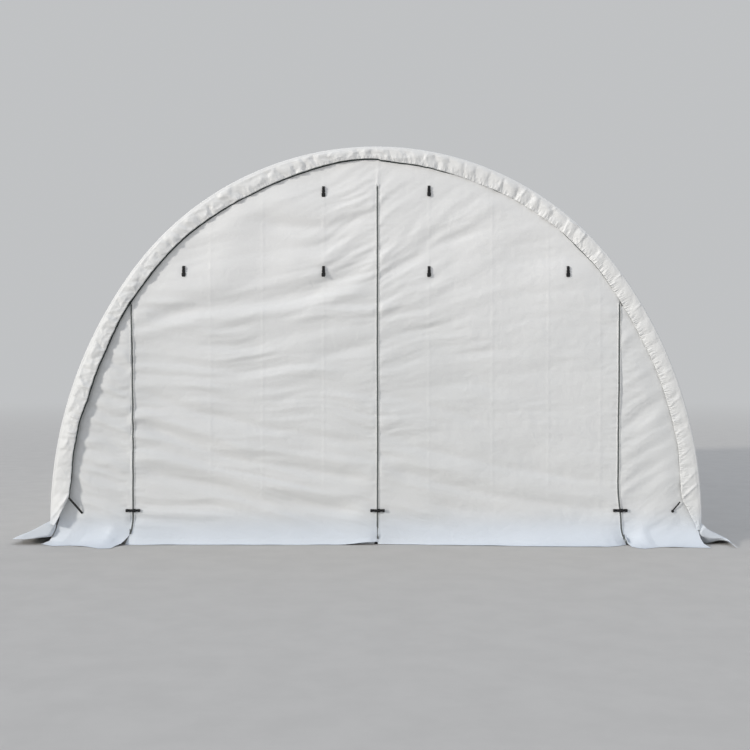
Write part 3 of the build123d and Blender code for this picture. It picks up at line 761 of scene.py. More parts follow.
points, uv = hem_band()
patch = (points, uv, (0, -3.5, 1.2))
hem_front = make_piece("hem_band_front", [patch], COVER_CLOTH, ["hem_front"])
points, uv = hem_band(1200, 42, 47, 1)
patch = (points, uv, (0, 3.5, 1.2))
hem_back = make_piece("hem_band_back", [patch], COVER_CLOTH, ["hem_back"])


# %% Draw cord, made dark as a painted shadow gap
CORD_SIZE = np.array([
    # (distance along the arch, radius of the cord, how far it shows past the hem's edge as a dark line of
    # painted shadow)
    (0.45, 0.004, 0.004), (1.0, 0.006, 0.008), (2.5, 0.006, 0.010), (5.0, 0.006, 0.011),
    (6.0, 0.005, 0.008), (6.4, 0.004, 0.004), (7.6, 0.004, 0.003), (8.2, 0.003, -0.004),
    (10.2, 0.003, -0.006)])


def shadow_gap_cord(rows=900, around=10):
    """The hem's cord, made dark as painted shadow of the gap: a circle carried along the arch just behind
    and inside the edge.
    """
    s = np.linspace(0.45, 10.20, rows)[:, None]
    turn = np.linspace(0, 2 * np.pi, around)[None, :]
    radius, shows = (np.interp(s, CORD_SIZE[:, 0], CORD_SIZE[:, k]) for k in (1, 2))
    middle = COVER_REACH - np.interp(s, *BAND_WIDTH.T) - shows + radius
    middle = middle + 0.0016 * noise(s / 0.05, s * 0 + 0.5, 35)
    x, z, _, _ = arch(s + 0 * turn, middle + radius * np.cos(turn))
    f = np.interp(s, *STAND_OFF.T) - 0.008 - radius + radius * np.sin(turn)
    return grid(x, -(FRAME_HALF + f), z), grid(s, radius * turn)

# %% [markdown]
# ## Cover
# The main cover is one sheet pulled over five arches. Between two arches nothing holds it out, so it
# sinks a little, most in the middle of a bay. Its breadths of cloth are welded together with narrow
# overlaps that run over the shelter. Coated cloth is only half a millimetre thick, so one layer of
# faces is enough, and all of them can go into the creases. The rows lie closer at the welds.

# %% Main cover
# where the cover meets the skirts along the arch, half the width of cloth that lies on a tube, and
# the distance between two welds
SKIRT_SEAM = 0.37
ON_TUBE = 0.029
WELD_PITCH = 1.50


def from_weld(y):
    """Distance of y from the nearest weld, of which the middle one lies at 0.30 m."""
    return np.abs(np.mod(y + 0.45, WELD_PITCH) - WELD_PITCH / 2)


def cover_sheet(columns=340, rows=292):
    """Grid of the cover: the arch at reach 0.0283, less a sag of 32 mm (1 - (1 - t)^2)^0.85 in each bay.

    t is 0 up to 29 mm from an arch, so the cloth lies flat on the tube, and 1 in the middle of the bay.
    Slanting creases cross the bays, and weld seams stand out by 1.4 mm and pucker.
    """
    s = np.linspace(SKIRT_SEAM, ARCH_LENGTH - SKIRT_SEAM, columns)[:, None]
    place = np.linspace(-(FRAME_HALF + 0.030), FRAME_HALF + 0.030, 4000)
    pace = np.cumsum(1 + 2 * bell(from_weld(place), 0.05))
    y = np.interp(np.linspace(pace[0], pace[-1], rows), pace, place)[None, :]
    bay_way = (y + FRAME_HALF) / BAY
    from_arch = np.abs(bay_way - np.round(bay_way)) * BAY
    off_tube = np.clip((from_arch - ON_TUBE) / (BAY / 2 - ON_TUBE), 0, 1)
    across_bay = 1 - (1 - off_tube) ** 2
    from_foot = np.minimum(s, ARCH_LENGTH - s) - SKIRT_SEAM
    sag = 0.032 * across_bay**0.85 * smooth(from_foot, 0.0, 1.1)
    slant = s + 0.45 * y + 0.12 * noise(s / 0.7, y / 0.6, 64)
    creases = noise(slant / 0.26, y / 0.8, 61) * 0.0100 + noise((s - 0.35 * y) / 0.12, y / 0.5, 65) * 0.0040
    creases += crease(noise(slant / 0.10, y / 0.40, 62), 0.06) * 0.0045
    creases = creases * smooth(from_arch, 0.026, 0.30) * (0.3 + 0.7 * smooth(from_foot, 0.0, 0.5))
    beside = np.exp(-from_arch / 0.12) * smooth(from_arch, 0.02, 0.06)
    creases += noise(s / 0.085, y / 0.25, 63) * 0.0030 * beside
    weld = 0.0014 * smooth(-from_weld(y), -0.030, -0.018)
    weld = weld + noise(s / 0.075, y / 0.08, 66) * 0.0018 * bell(from_weld(y), 0.045)
    reach = COVER_REACH - sag + 1.25 * creases * smooth(from_foot, -0.02, 0.05) - 0.002 + weld
    x, z, _, _ = arch(s + 0 * y, np.maximum(reach, -0.018))
    return grid(x, y, z), grid(s, y)


cover = make_piece("main_cover", [cover_sheet()], COVER_CLOTH, ["cover"])
print("cover:", len(cover.data.polygons), "faces")

# %% [markdown]
# ## Front wall
# The wall is cut into four sheets that meet at the zippers. Near the ground each sheet leaves the
# wall's plane and runs out forwards in a curve, so its foot lies on the ground and keeps the wind
# out. The sheets are worked out as (x, height) and moved forwards by the relief and by that curve.

# %% Zipper lines and the curve of the foot
ZIP_LEFT_LINE = [
    (0.0, -2.352), (0.05, -2.335), (0.085, -2.303), (0.15, -2.277), (0.32, -2.272), (0.88, -2.271),
    (1.48, -2.278), (1.91, -2.284), (2.30, -2.295)]
ZIP_RIGHT_LINE = [
    (0.0, 2.350), (0.03, 2.325), (0.096, 2.304), (0.181, 2.290), (0.243, 2.294), (0.34, 2.280),
    (0.487, 2.265), (1.30, 2.270), (2.30, 2.283)]
ZIP_CENTRE_LINE = [
    (0.0, 0.018), (0.15, 0.014), (0.9, 0.017), (1.8, 0.014), (2.6, 0.015), (3.35, 0.014), (3.62, 0.014)]


def zip_x(z, line):
    """Where a zipper's line runs at a height: straight between its points, averaged over 60 mm each way."""
    heights, places = np.array(line).T
    return sum(np.interp(z + d, heights, places) for d in (-0.06, -0.03, 0, 0.03, 0.06)) / 5


def foot_curve(way, out):
    """Height and forward distance of a foot: a quarter ellipse from (out, 3 mm) up to (0, 0.243 m).

    way is the part of the quarter ellipse, 0 at the tip and 1 where the wall is upright.
    """
    turn = way * np.pi / 2
    return ON_GROUND + FOOT_RISE * (1 - np.cos(turn)), out * (1 - np.sin(turn))


def foot_then_wall(foot, wall_z, columns):
    """Heights and forward distances of a sheet: the rows of its foot, then upright rows."""
    spread = np.zeros((columns, 1))
    upright = wall_z + spread
    heights = np.concatenate([foot[0] + spread, upright], axis=1)
    return heights, np.concatenate([foot[1] + spread, 0 * upright], axis=1)


print("zipper at 1 m:", float(zip_x(1.0, ZIP_LEFT_LINE)), float(zip_x(1.0, ZIP_RIGHT_LINE)))


# %% Doors
def door_out(x):
    """How far the door's foot runs out forwards at x: a narrow foot on the left, a wide one right."""
    left = [(-2.35, 0.004), (-2.28, 0.035), (-2.20, 0.055), (-0.4, 0.060), (-0.05, 0.040), (0.0, 0.020)]
    right = [(0.0, 0.010), (0.25, 0.030), (1.0, 0.105), (1.67, 0.150), (2.10, 0.168), (2.20, 0.130),
             (2.28, 0.055), (2.36, 0.004)]
    return np.where(x < 0.007, *(np.interp(x, *np.array(table).T) for table in (left, right)))


def door_sheet(side, columns=200, rows=320, foot_rows=56):
    """Grid of one door half: from the centre zipper to the side zipper, and from foot to arch.

    The first foot_rows rows go round the foot's quarter ellipse and the rest go straight up to the
    arch, so each column ends under the hem band.
    """
    lines = (ZIP_LEFT_LINE, ZIP_CENTRE_LINE) if side < 0 else (ZIP_CENTRE_LINE, ZIP_RIGHT_LINE)
    across = np.linspace(0, 1, columns)[:, None]
    low_x, high_x = (zip_x(0.2, line) for line in lines)
    guess = low_x + (high_x - low_x) * across
    foot = foot_curve(np.linspace(0, 1, foot_rows, endpoint=False)[None, :], door_out(guess))
    top = arch_top(np.clip(guess, -2.99, 2.99), WALL_REACH)
    wall_z = FOOT_TOP + (top - FOOT_TOP) * np.linspace(0, 1, rows - foot_rows)[None, :]
    z, f = foot_then_wall(foot, wall_z, columns)
    low_x, high_x = (zip_x(z, line) for line in lines)
    x = low_x + (high_x - low_x) * across
    relief = wall_height(x, np.maximum(z, 0.05))
    low = smooth(z, 0.02, 0.30)
    wave_out = 0.010 * noise(x / 0.42, z * 0 + 0.5, 71) * (1 - low)
    if side < 0:
        z = z + 0.026 * bell(x + 0.05, 0.16) * (1 - smooth(z, 0.0, 0.10))
    z = z + 0.004 * noise(x / 0.30, z * 0, 72) * (1 - smooth(z, 0, 0.1)) + 0.001
    z = np.maximum(z, ON_GROUND)
    hem_line = 0.0012 * smooth(-z, -0.050, -0.044)
    seam_pucker = 0.0016 * noise(x / 0.035, z / 0.02, 73) * bell(z - 0.05, 0.03)
    forward = WALL_FACE + relief * (0.35 + 0.65 * low) + f + wave_out + hem_line + seam_pucker
    return grid(x, -(FRAME_HALF + forward), z), grid(x, z + f)


def bar_pocket(x_low, x_high, y, z, radius, columns=40, around=24):
    """Tube of cloth round a bar: a circle of the radius carried from x_low to x_high."""
    x = np.linspace(x_low, x_high, columns)[:, None]
    turn = np.linspace(0, 2 * np.pi, around)[None, :]
    r = radius + 0.0006 * noise(x / 0.08, turn / 1.1, 75)
    return grid(x, y + r * np.cos(turn), z + r * np.sin(turn)), grid(x, radius * turn), (0, y, z)


# the centre from which the front's faces have to look away, and the pocket's place and radius
BEHIND_FRONT = (0, -3.0, 1.2)
POCKET_Y, POCKET_Z, POCKET_RADIUS = -3.6873, 0.0193, 0.0172
for side, word in SIDES:
    pocket = bar_pocket(*sorted((side * 0.016, side * 2.279)), POCKET_Y, POCKET_Z, POCKET_RADIUS)
    patches = [(*door_sheet(side), BEHIND_FRONT), pocket]
    make_piece(f"door_sheet_{word}", patches, WALL_CLOTH, [f"door_{word}"])


# %% Corner panels
FLAP_OUT = {
    # (distance of a point of the flap's front edge from the middle, how far it lies before the wall)
    -1: [(2.42, 0.265), (2.534, 0.275), (2.657, 0.175), (2.839, 0.100), (2.99, 0.130), (3.10, 0.05),
         (3.15, 0.01)],
    1: [(2.355, 0.17), (2.40, 0.250), (2.45, 0.275), (2.52, 0.240), (2.62, 0.185), (2.80, 0.20),
        (3.08, 0.245)]}
FLAP_EDGE = {
    # (height, distance from the middle) of the flap's outer edge
    -1: [(0.0, 3.15), (0.008, 3.12), (0.034, 3.06), (0.09, 3.018), (0.16, 2.99), (0.24, 2.965),
         (0.45, 2.985)],
    1: [(0.0, 3.08), (0.01, 3.055), (0.025, 3.032), (0.061, 3.020), (0.10, 3.016), (0.19, 3.010),
        (0.24, 2.992), (0.45, 2.985)]}
FLAP_START = {
    # the same for its inner edge, which leaves the zipper's foot and runs out over the ground
    -1: [(0.0, 2.425), (0.004, 2.420), (0.0215, 2.367), (0.0485, 2.342), (0.085, 2.309)],
    1: [(0.0, 2.360), (0.010, 2.350), (0.030, 2.332), (0.085, 2.309)]}


def corner_edge(z, side):
    """Outer edge of a corner panel: the arch 12 mm out, drawn in near the ground."""
    x, height, _, _ = arch(np.linspace(0.0, 3.2, 400), WALL_REACH)
    on_arch = np.interp(z, height, -x)
    low = np.interp(z, *np.array(FLAP_EDGE[side]).T)
    return np.where(z < 0.55, np.minimum(low, np.where(z < 0.26, 9.0, on_arch)), on_arch)


def corner_start(z, side):
    """Inner edge of a corner panel: the zipper's line, and below 85 mm the flap's own edge."""
    line = np.abs(zip_x(z, ZIP_LEFT_LINE if side < 0 else ZIP_RIGHT_LINE))
    return np.where(z < 0.085, np.maximum(line, np.interp(z, *np.array(FLAP_START[side]).T)), line)


def corner_sheet(side, columns=110, rows=260, foot_rows=60):
    """Grid of one corner panel with its flap: rows go up the wall, columns from zipper to arch.

    The foot runs forwards as the quarter ellipse's share to a power that falls from 2.3 at the zipper
    to 1 away from it, times the reach of the flap's front edge.
    """
    across = np.linspace(0, 1, columns)[:, None]
    ground = np.array(ON_GROUND)
    first, last = corner_start(ground, side), corner_edge(ground, side)
    reach = np.interp(first + (last - first) * across, *np.array(FLAP_OUT[side]).T)
    foot_z, foot_f = foot_curve(np.linspace(0, 1, foot_rows, endpoint=False)[None, :], 1.0)
    foot_f = reach * foot_f ** (1 + 1.3 * (1 - smooth(across, 0.0, 0.30)))
    wall_z = np.linspace(FOOT_TOP, 2.235, rows - foot_rows)[None, :]
    z, f = foot_then_wall((foot_z, foot_f), wall_z, columns)
    start = corner_start(z, side)
    x = side * (start + (corner_edge(z, side) - start) * across)
    relief = wall_height(x, np.maximum(z, 0.05))
    low = smooth(z, 0.02, 0.30)
    wave_out = 0.006 * noise(x / 0.30, z * 0 + 0.5, 81) * (1 - low) * smooth(np.abs(x), 2.32, 2.45)
    ripple = 0.006 * noise(x / 0.22, f / 0.2, 82) * (1 - smooth(z, 0, 0.12)) * smooth(np.abs(x), 2.35, 2.5)
    z = np.maximum(z + ripple, ON_GROUND)
    forward = WALL_FACE + relief * (0.45 + 0.55 * low) + f + wave_out
    return grid(x, -(FRAME_HALF + forward), z), grid(x, z + f)


for side, word in SIDES:
    patch = (*corner_sheet(side), BEHIND_FRONT)
    nodes = [f"corner_panel_{word}", f"corner_flap_{word}"]
    make_piece(f"corner_sheet_{word}", [patch], WALL_CLOTH, nodes)

# %% [markdown]
# ## Side skirts
# Below the tension rail the cover's cloth leaves the arch and runs out over the ground. The rail lies
# in a pocket, which shows as a welt along the skirt. The skirt is a path in the section of the
# shelter, carried from front to back, and its free edge waves a little because nothing holds it.

# %% Side skirts
# points (distance from the middle, height) from the seam at the arch over the rail to the free edge
SKIRT_LEFT = np.array([
    (3.0445, 0.405), (3.0480, 0.30), (3.062, 0.25), (3.0695, 0.225), (3.085, 0.205), (3.20, 0.130),
    (3.30, 0.065), (3.386, 0.012)])
SKIRT_RIGHT = np.array([
    (3.0445, 0.405), (3.0480, 0.30), (3.062, 0.25), (3.0695, 0.225), (3.075, 0.165), (3.15, 0.118),
    (3.25, 0.072), (3.388, 0.004)])


def smoothed_path(path, count, spread, steps):
    """count points at even distances along a path, its corners rounded by an average.

    Each point is the mean of the path at the given steps times spread before and after it; spread
    shrinks towards both ends, which stay where they are.
    """
    at = np.concatenate([[0], np.cumsum(np.linalg.norm(np.diff(path, axis=0), axis=1))])
    way = np.linspace(0, at[-1], count)
    spread = np.minimum(np.minimum(way, at[-1] - way), spread)
    columns = range(path.shape[1])
    points = sum(grid(*(np.interp(way + k * spread, at, path[:, c]) for c in columns)) for k in steps)
    return points / len(steps), way


def skirt_sheet(path, tip_forward, tip_up, seed, rows=64, columns=420):
    """Grid of a side skirt: the path in x and z for each y, with waves that grow to the free edge.

    The path goes round the rail at z = 0.225. Past the rail's front end the sheet is pinched onto the
    arch, and the free corner is pulled forwards by tip_forward and lifted by tip_up.
    """
    points, way = smoothed_path(path, rows, 0.025, (-1, -0.5, 0, 0.5, 1))
    share = (way / way[-1])[:, None]
    half = FRAME_HALF + 0.0653
    over = np.linspace(-half, half, columns)[None, :]
    y = over * (half - 0.030 * (1 - smooth(share, 0.34, 0.42))) / half
    free = smooth(share, 0.45, 1.0)
    edge_wave = noise(y / 0.50, share * 1.5, seed) * 0.016 * free
    edge_wave = edge_wave + noise(y / 0.19, share * 2, seed + 1) * 0.005 * free
    upper = noise(y / 0.35, share * 3, seed + 2) * 0.0025 * (1 - free)
    x = points[:, 0][:, None] + edge_wave * 0.5 + upper * smooth(share, 0.05, 0.3)
    at_front = smooth(-over, FRAME_HALF - 0.10, half)
    x = x - np.maximum(x - 3.0465, 0) * at_front * (1 - smooth(share, 0.32, 0.42))
    raised = tip_up * smooth(share, 0.35, 1.0) * smooth(-over, half - 0.8, half)
    z = np.maximum(points[:, 1][:, None] + np.abs(edge_wave) * 0.9, ON_GROUND) + raised
    pull = smooth(share, 0.70, 1.0) ** 2 * smooth(-over, half - 0.55, half)
    return x - 0.42 * tip_forward * pull, y - tip_forward * pull, z, share


END_HEM_LEFT = [(0.0, 0.003), (0.30, 0.004), (0.36, 0.062), (0.42, 0.100), (0.50, 0.125), (0.61, 0.095),
    (0.80, 0.060), (1.0, 0.003)]
END_HEM_RIGHT = [(0.0, 0.003), (0.33, 0.004), (0.44, 0.080), (0.56, 0.062), (0.70, 0.022),
    (0.85, 0.013), (1.0, 0.003)]
END_HEM_BACK = [(0.0, 0.003), (0.22, 0.006), (0.30, 0.030), (0.42, 0.080), (0.56, 0.070), (0.75, 0.036),
    (1.0, 0.003)]
END_RETURN = [(0.0, 0.0), (0.33, 0.0), (0.40, 0.085), (0.52, 0.075), (0.68, 0.030), (0.80, 0.0), (1.0, 0.0)]


def skirt_end(x, y, z, share, hem, lean, behind):
    """Columns past the front end, where the skirt's hem is turned in as the arch's hem band is.

    From the front edge the cloth goes forwards on a quarter circle of 10 mm, then inwards, square to
    the path but leaning towards the level, by the hem's width, and then back underneath.
    """
    x0, y0, z0 = (v[:, :1] for v in (x, y, z))
    ahead = np.stack([np.gradient(x0[:, 0]), np.gradient(z0[:, 0])])
    ahead = ahead / np.hypot(*ahead)
    in_x = ahead[1][:, None] - lean * np.interp(share, [0.36, 0.5, 1.0], [1.5, 0.6, 0.3])
    in_z = -ahead[0][:, None]
    in_x, in_z = in_x / np.hypot(in_x, in_z), in_z / np.hypot(in_x, in_z)
    width = np.interp(share, *np.array(hem).T)
    back = np.interp(share, *np.array(END_RETURN).T) * behind
    turn = np.linspace(0, np.pi / 2, 6)[None, 1:]
    way = np.linspace(0, 1, 8)[None, 1:]
    bend_size = np.minimum(0.010, width)
    behind_face = bend_size + 0.006 - 0.10 * way * back / 0.085
    forward = [bend_size * np.sin(turn), bend_size + 0.006 * way, behind_face]
    inward = [bend_size * (1 - np.cos(turn)), bend_size + (width - bend_size) * way, width + back * way]
    forward, inward = np.concatenate(forward, axis=1), np.concatenate(inward, axis=1)
    return x0 + in_x * inward, y0 - forward, np.maximum(z0 + in_z * inward, ON_GROUND)


for side, word, path, tip_forward, tip_up, seed, hem in (
        (-1, "left", SKIRT_LEFT, 0.0, 0.026, 91, (END_HEM_LEFT, 1.0, 0.25)),
        (1, "right", SKIRT_RIGHT, 0.20, 0.0, 95, (END_HEM_RIGHT, 0.0, 1.08))):
    x, y, z, share = skirt_sheet(path, tip_forward, tip_up, seed)
    near = skirt_end(x, y, z, share, *hem)
    far_x, far_y, far_z = skirt_end(x[:, ::-1], -y[:, ::-1], z[:, ::-1], share, END_HEM_BACK, 0.6, 0.5)
    triples = zip(near, (x, y, z), (far_x, -far_y, far_z))
    x, y, z = (np.concatenate([a[:, ::-1], b, c], axis=1) for a, b, c in triples)
    patch = (grid(side * x, y, z), grid(y, share * 0.56))
    nodes = [f"side_skirt_{word}"]
    make_piece(f"skirt_sheet_{word}", [patch], COVER_CLOTH, nodes)

# %% [markdown]
# ## Back wall
# Nothing of the back is seen in the photograph. A shelter of this kind has a plain back wall without
# a door, hung behind the last arch and with the same kind of foot, so it gets folds of the same kind.

# %% Back wall
def back_sheet(columns=260, rows=230, foot_rows=40):
    """Grid of the back wall: heights from the ground to the arch, and a foot 0.24 m long."""
    across = np.linspace(-1, 1, columns)[:, None]
    foot = foot_curve(np.linspace(0, 1, foot_rows, endpoint=False)[None, :], 0.235)
    guess = across * 2.992
    top = arch_top(guess, WALL_REACH)
    wall_z = FOOT_TOP + (top - FOOT_TOP) * np.linspace(0, 1, rows - foot_rows)[None, :]
    z, f = foot_then_wall(foot, wall_z, columns)
    x = guess + 0 * z
    sink = z + 0.10 * np.cos(x * 1.1) + 0.06 * noise(x / 0.8, z / 0.4, 104)
    relief = noise(x / 1.1, sink / 0.150, 101) * 0.014 + noise(x / 0.45, sink / 0.066, 105) * 0.0045
    relief += crease(noise(x / 0.25, sink / 0.035, 102), 0.06) * 0.0022
    relief += 0.0014 * bell(np.mod(x + 0.75, 1.5) - 0.75, 0.012)
    relief = np.maximum(0.014 + relief, 0) * (0.2 + 0.8 * smooth(inside_arch(x, z), 0.06, 0.30))
    x = x * (1 + 0.012 * (1 - smooth(z, 0.05, 0.24)))
    f = f * (1 + 0.10 * noise(x / 0.55, z * 0 + 0.5, 106))
    z = np.maximum(z + 0.010 * noise(x / 0.3, f / 0.2, 103) * (1 - smooth(z, 0, 0.12)), ON_GROUND)
    return grid(x, FRAME_HALF + WALL_FACE - 0.002 + relief + f, z), grid(x, z + f)


nodes = ["back_wall", "back_flap"]
back_wall = make_piece("back_wall_sheet", [back_sheet()], WALL_CLOTH, nodes)

# %% [markdown]
# ## Zippers
# Three long coil zippers join the four sheets of the front. From some metres away each is a dark line
# of even width, and near to it one sees the two tapes, the coil between them and a slider at the
# foot. The tape follows the wall's relief, because its height comes from the same function.

# %% Zipper material
ZIPPER, tree, shader, along, local = new_material("zipper_tape_and_coil", 0.55)
place = split(tree, along)
middle = ranged(tree, math_node(tree, "ABSOLUTE", place["X"]), 0.0035, 0.0045, 1.0, 0.0)
ribs = wave(tree, place["X"], 0.0016)
coil = times(tree, ranged(tree, wave(tree, place["Y"], 0.0042), -0.4, 0.4), middle)
worn = noise_node(tree, local, 6.0, 4.0)
tone = blend_colours(tree, worn, (0.110, 0.124, 0.124), (0.155, 0.170, 0.168))
tone = blend_colours(tree, middle, tone, (0.095, 0.107, 0.108))
tone = blend_colours(tree, times(tree, coil, 0.6), tone, (0.22, 0.235, 0.23))
relief = plus(tree, coil, times(tree, ribs, 0.15))
dress(tree, shader, tone, bump(tree, relief, 0.0008, 0.6))
print("material:", ZIPPER.name)


# %% Zippers
def front_surface(x, z):
    """Forward distance of the front wall's face at (x, z), the foot's curve included."""
    x, z = np.broadcast_arrays(np.asarray(x, float), np.asarray(z, float))
    relief = wall_height(x, np.maximum(z, 0.05))
    low = smooth(z, 0.02, 0.30)
    turn = np.arccos(np.clip(1 - (z - ON_GROUND) / FOOT_RISE, 0, 1))
    flap = np.where(x < 0, *(np.interp(np.abs(x), *np.array(FLAP_OUT[side]).T) for side in (-1, 1)))
    out = np.where(np.abs(x) < 2.33, door_out(x), flap)
    return WALL_FACE + relief * (0.35 + 0.65 * low) + np.where(z < FOOT_TOP, out * (1 - np.sin(turn)), 0)


ZIP_SECTION = np.array([
    # (distance from the zipper's line, height over the wall): tape, coil, tape
    (-0.0095, 0.0012), (-0.0060, 0.0014), (-0.0042, 0.0014), (-0.0035, 0.0026), (-0.0022, 0.0034),
    (0.0, 0.0037), (0.0022, 0.0034), (0.0035, 0.0026), (0.0042, 0.0014), (0.0060, 0.0014),
    (0.0095, 0.0012)])
EDGE_SECTION = np.array([
    # the same for the folded edge of cloth at one side of the coil
    (0.0080, 0.0008), (0.0080, 0.0032), (0.0088, 0.0046), (0.0100, 0.0048), (0.0115, 0.0039),
    (0.0135, 0.0041), (0.0150, 0.0028), (0.0160, -0.0010)])


def zipper_strip(line, z_low, z_high, section, rows=520):
    """Grid of a strip with a section of (distance, height) points, carried up a zipper's line."""
    u, raised = section.T
    z = np.linspace(z_low, z_high, rows)[:, None]
    x = zip_x(z, line) + u[None, :]
    x = x + 0.0007 * noise(z / 0.05, z * 0 + 0.5, 111)
    face = np.maximum(front_surface(zip_x(z, line), z), front_surface(x, z))
    return grid(x, -(FRAME_HALF + face + raised[None, :] + 0.0008), z), grid(u[None, :], z)


def bend(w, power=4.0):
    """sign(w) |w|^(2 / power): makes a rounded square out of the cosine and sine of a circle."""
    return np.sign(w) * np.abs(w) ** (2 / power)


def rounded_bar(centre, size, turn=0.0, power=4.0, rows=14, columns=28):
    """A closed bar: a super-ellipsoid |x/a|^p + |y/b|^p + |z/c|^p = 1, turned in the wall's plane.

    The angles u and v give sign(cos)|cos|^(2/p) and sign(sin)|sin|^(2/p) along the three axes.
    """
    u = np.linspace(-np.pi / 2, np.pi / 2, rows)[:, None]
    v = np.linspace(-np.pi, np.pi, columns)[None, :]
    a, b, c = (0.5 * length for length in size)
    lx = a * bend(np.cos(u), power) * bend(np.cos(v), power)
    ly = b * bend(np.cos(u), power) * bend(np.sin(v), power)
    lz = c * bend(np.sin(u), power)
    x = centre[0] + lx * math.cos(turn) - lz * math.sin(turn)
    z = centre[2] + lx * math.sin(turn) + lz * math.cos(turn)
    return grid(x, centre[1] + ly, z), grid(lx, lz), centre


for word, line, low, high in (
        ("left", ZIP_LEFT_LINE, 0.080, 2.245),
        ("right", ZIP_RIGHT_LINE, 0.030, 2.245),
        ("centre", ZIP_CENTRE_LINE, 0.035, 3.352)):
    strip = zipper_strip(line, low, high, ZIP_SECTION)
    at = (float(zip_x(low + 0.03, line)), float(strip[0][8, 5, 1]) - 0.004, low + 0.03)
    slider = rounded_bar(at, (0.016, 0.012, 0.026), 0.0, 5.0)
    pull = rounded_bar((at[0], at[1] - 0.009, at[2] + 0.018), (0.009, 0.003, 0.040), 0.06, 3.0)
    patches = [(*strip, BEHIND_FRONT), slider, pull]
    make_piece(f"zipper_strip_{word}", patches, ZIPPER, [f"zipper_{word}"])
    sections = [EDGE_SECTION * np.array([side, 1]) for side in (-1, 1)]
    edges = [(*zipper_strip(line, low, high + 0.02, section), BEHIND_FRONT) for section in sections]
    make_piece(f"zipper_edges_{word}", edges, EDGE_CLOTH, ())

# %% [markdown]
# ## Straps and ties
# Short black straps hang on the front, with which a rolled-up door is tied. Each is a webbing loop
# and a tail, with three buckle bars. Bars of webbing cross the three zippers near the ground, and a
# tie at each lower corner holds the hem band to the wall. Webbing has a coarse weave, which its
# material draws from the UV map.

# %% Webbing, plastic and the cord that paints a shadow gap
WEBBING, tree, shader, along, local = new_material("black_webbing", 0.62)
place = split(tree, along)
cells = times(tree, wave(tree, place["X"], 0.0026), wave(tree, place["Y"], 0.0022))
tone = blend_colours(tree, ranged(tree, cells, -1.0, 1.0), (0.006, 0.006, 0.007), (0.018, 0.018, 0.020))
wear = ranged(tree, noise_node(tree, local, 40.0, 4.0), 0.55, 0.75)
tone = blend_colours(tree, times(tree, wear, 0.25), tone, (0.05, 0.048, 0.045))
dress(tree, shader, tone, bump(tree, cells, 0.0006, 0.7))
PLASTIC, tree, shader, along, local = new_material("black_buckle_plastic", 0.38)
grain = noise_node(tree, local, 900.0, 2.0)
scuffs = ranged(tree, noise_node(tree, local, 70.0, 5.0, 0.7), 0.5, 0.8)
tone = blend_colours(tree, scuffs, (0.007, 0.007, 0.008), (0.022, 0.021, 0.020))
rough = ranged(tree, scuffs, 0.0, 1.0, 0.34, 0.55)
dress(tree, shader, tone, bump(tree, grain, 0.0002, 0.4), rough)
# painted shadow: the cord's near-black colours stand for the deep shadow gap under the band's inner edge
SHADOW_GAP_CORD, tree, shader, along, local = new_material("braided_draw_cord", 0.7)
place = split(tree, along)
plait = wave(tree, plus(tree, place["X"], times(tree, place["Y"], 1.2)), 0.005)
tone = blend_colours(tree, ranged(tree, plait, -1.0, 1.0), (0.045, 0.058, 0.056), (0.080, 0.098, 0.094))
dress(tree, shader, tone, bump(tree, plait, 0.0006, 0.6))
fill(shader, Specular_IOR_Level=0.2)
make_piece("hem_draw_cord", [(*shadow_gap_cord(), (0, -3.5, 1.2))], SHADOW_GAP_CORD, ())
print("materials:", WEBBING.name, PLASTIC.name, SHADOW_GAP_CORD.name)


# %% Strap shapes
def ribbon(path, width, rows=40, thick=0.0016):
    """Closed strip of webbing along a path of (x, forward, z) points.

    The path is smoothed, a flat oval section of width and thickness is carried along it, square to the
    path in the wall's plane, and both ends are closed by shrinking the section to a line.
    """
    middle, way = smoothed_path(np.array(path, float), rows, 0.010, (-1, 0, 1))
    ahead = np.gradient(middle, axis=0)
    ahead /= np.linalg.norm(ahead, axis=1)[:, None]
    sideways = np.cross(ahead, np.array([0.0, 1.0, 0.0]))
    steep = np.linalg.norm(sideways, axis=1)[:, None] < 0.3
    sideways = np.where(steep, np.cross(ahead, np.array([0.0, 0.0, 1.0])), sideways)
    sideways /= np.linalg.norm(sideways, axis=1)[:, None]
    face = np.cross(sideways, ahead)
    turn = np.linspace(0, 2 * np.pi, 17)
    across = bend(np.cos(turn)) * width / 2
    depth = np.tile(bend(np.sin(turn)) * thick / 2, (rows, 1))
    depth[[0, -1]] = 0.0
    points = middle[:, None, :] + sideways[:, None, :] * across[None, :, None]
    points = points + face[:, None, :] * depth[:, :, None]
    points[..., 1] = -(FRAME_HALF + points[..., 1])
    return points, grid(across[None, :], way[:, None]), tuple(points.reshape(-1, 3).mean(axis=0))


def hanging_strap(x, z, base, sway):
    """A roll-up strap 102 mm long: sewn flat at the top, bulging a little, with its tail below."""
    loop = [(x, base + 0.002, z + 0.052), (x, base + 0.004, z + 0.030),
            (x + sway, base + 0.012, z + 0.004), (x + sway, base + 0.007, z - 0.028)]
    tail = [(x + sway, base + 0.010, z - 0.022), (x - sway, base + 0.014, z - 0.036),
            (x - sway, base + 0.010, z - 0.050)]
    return ribbon(loop, 0.026), ribbon(tail, 0.028)


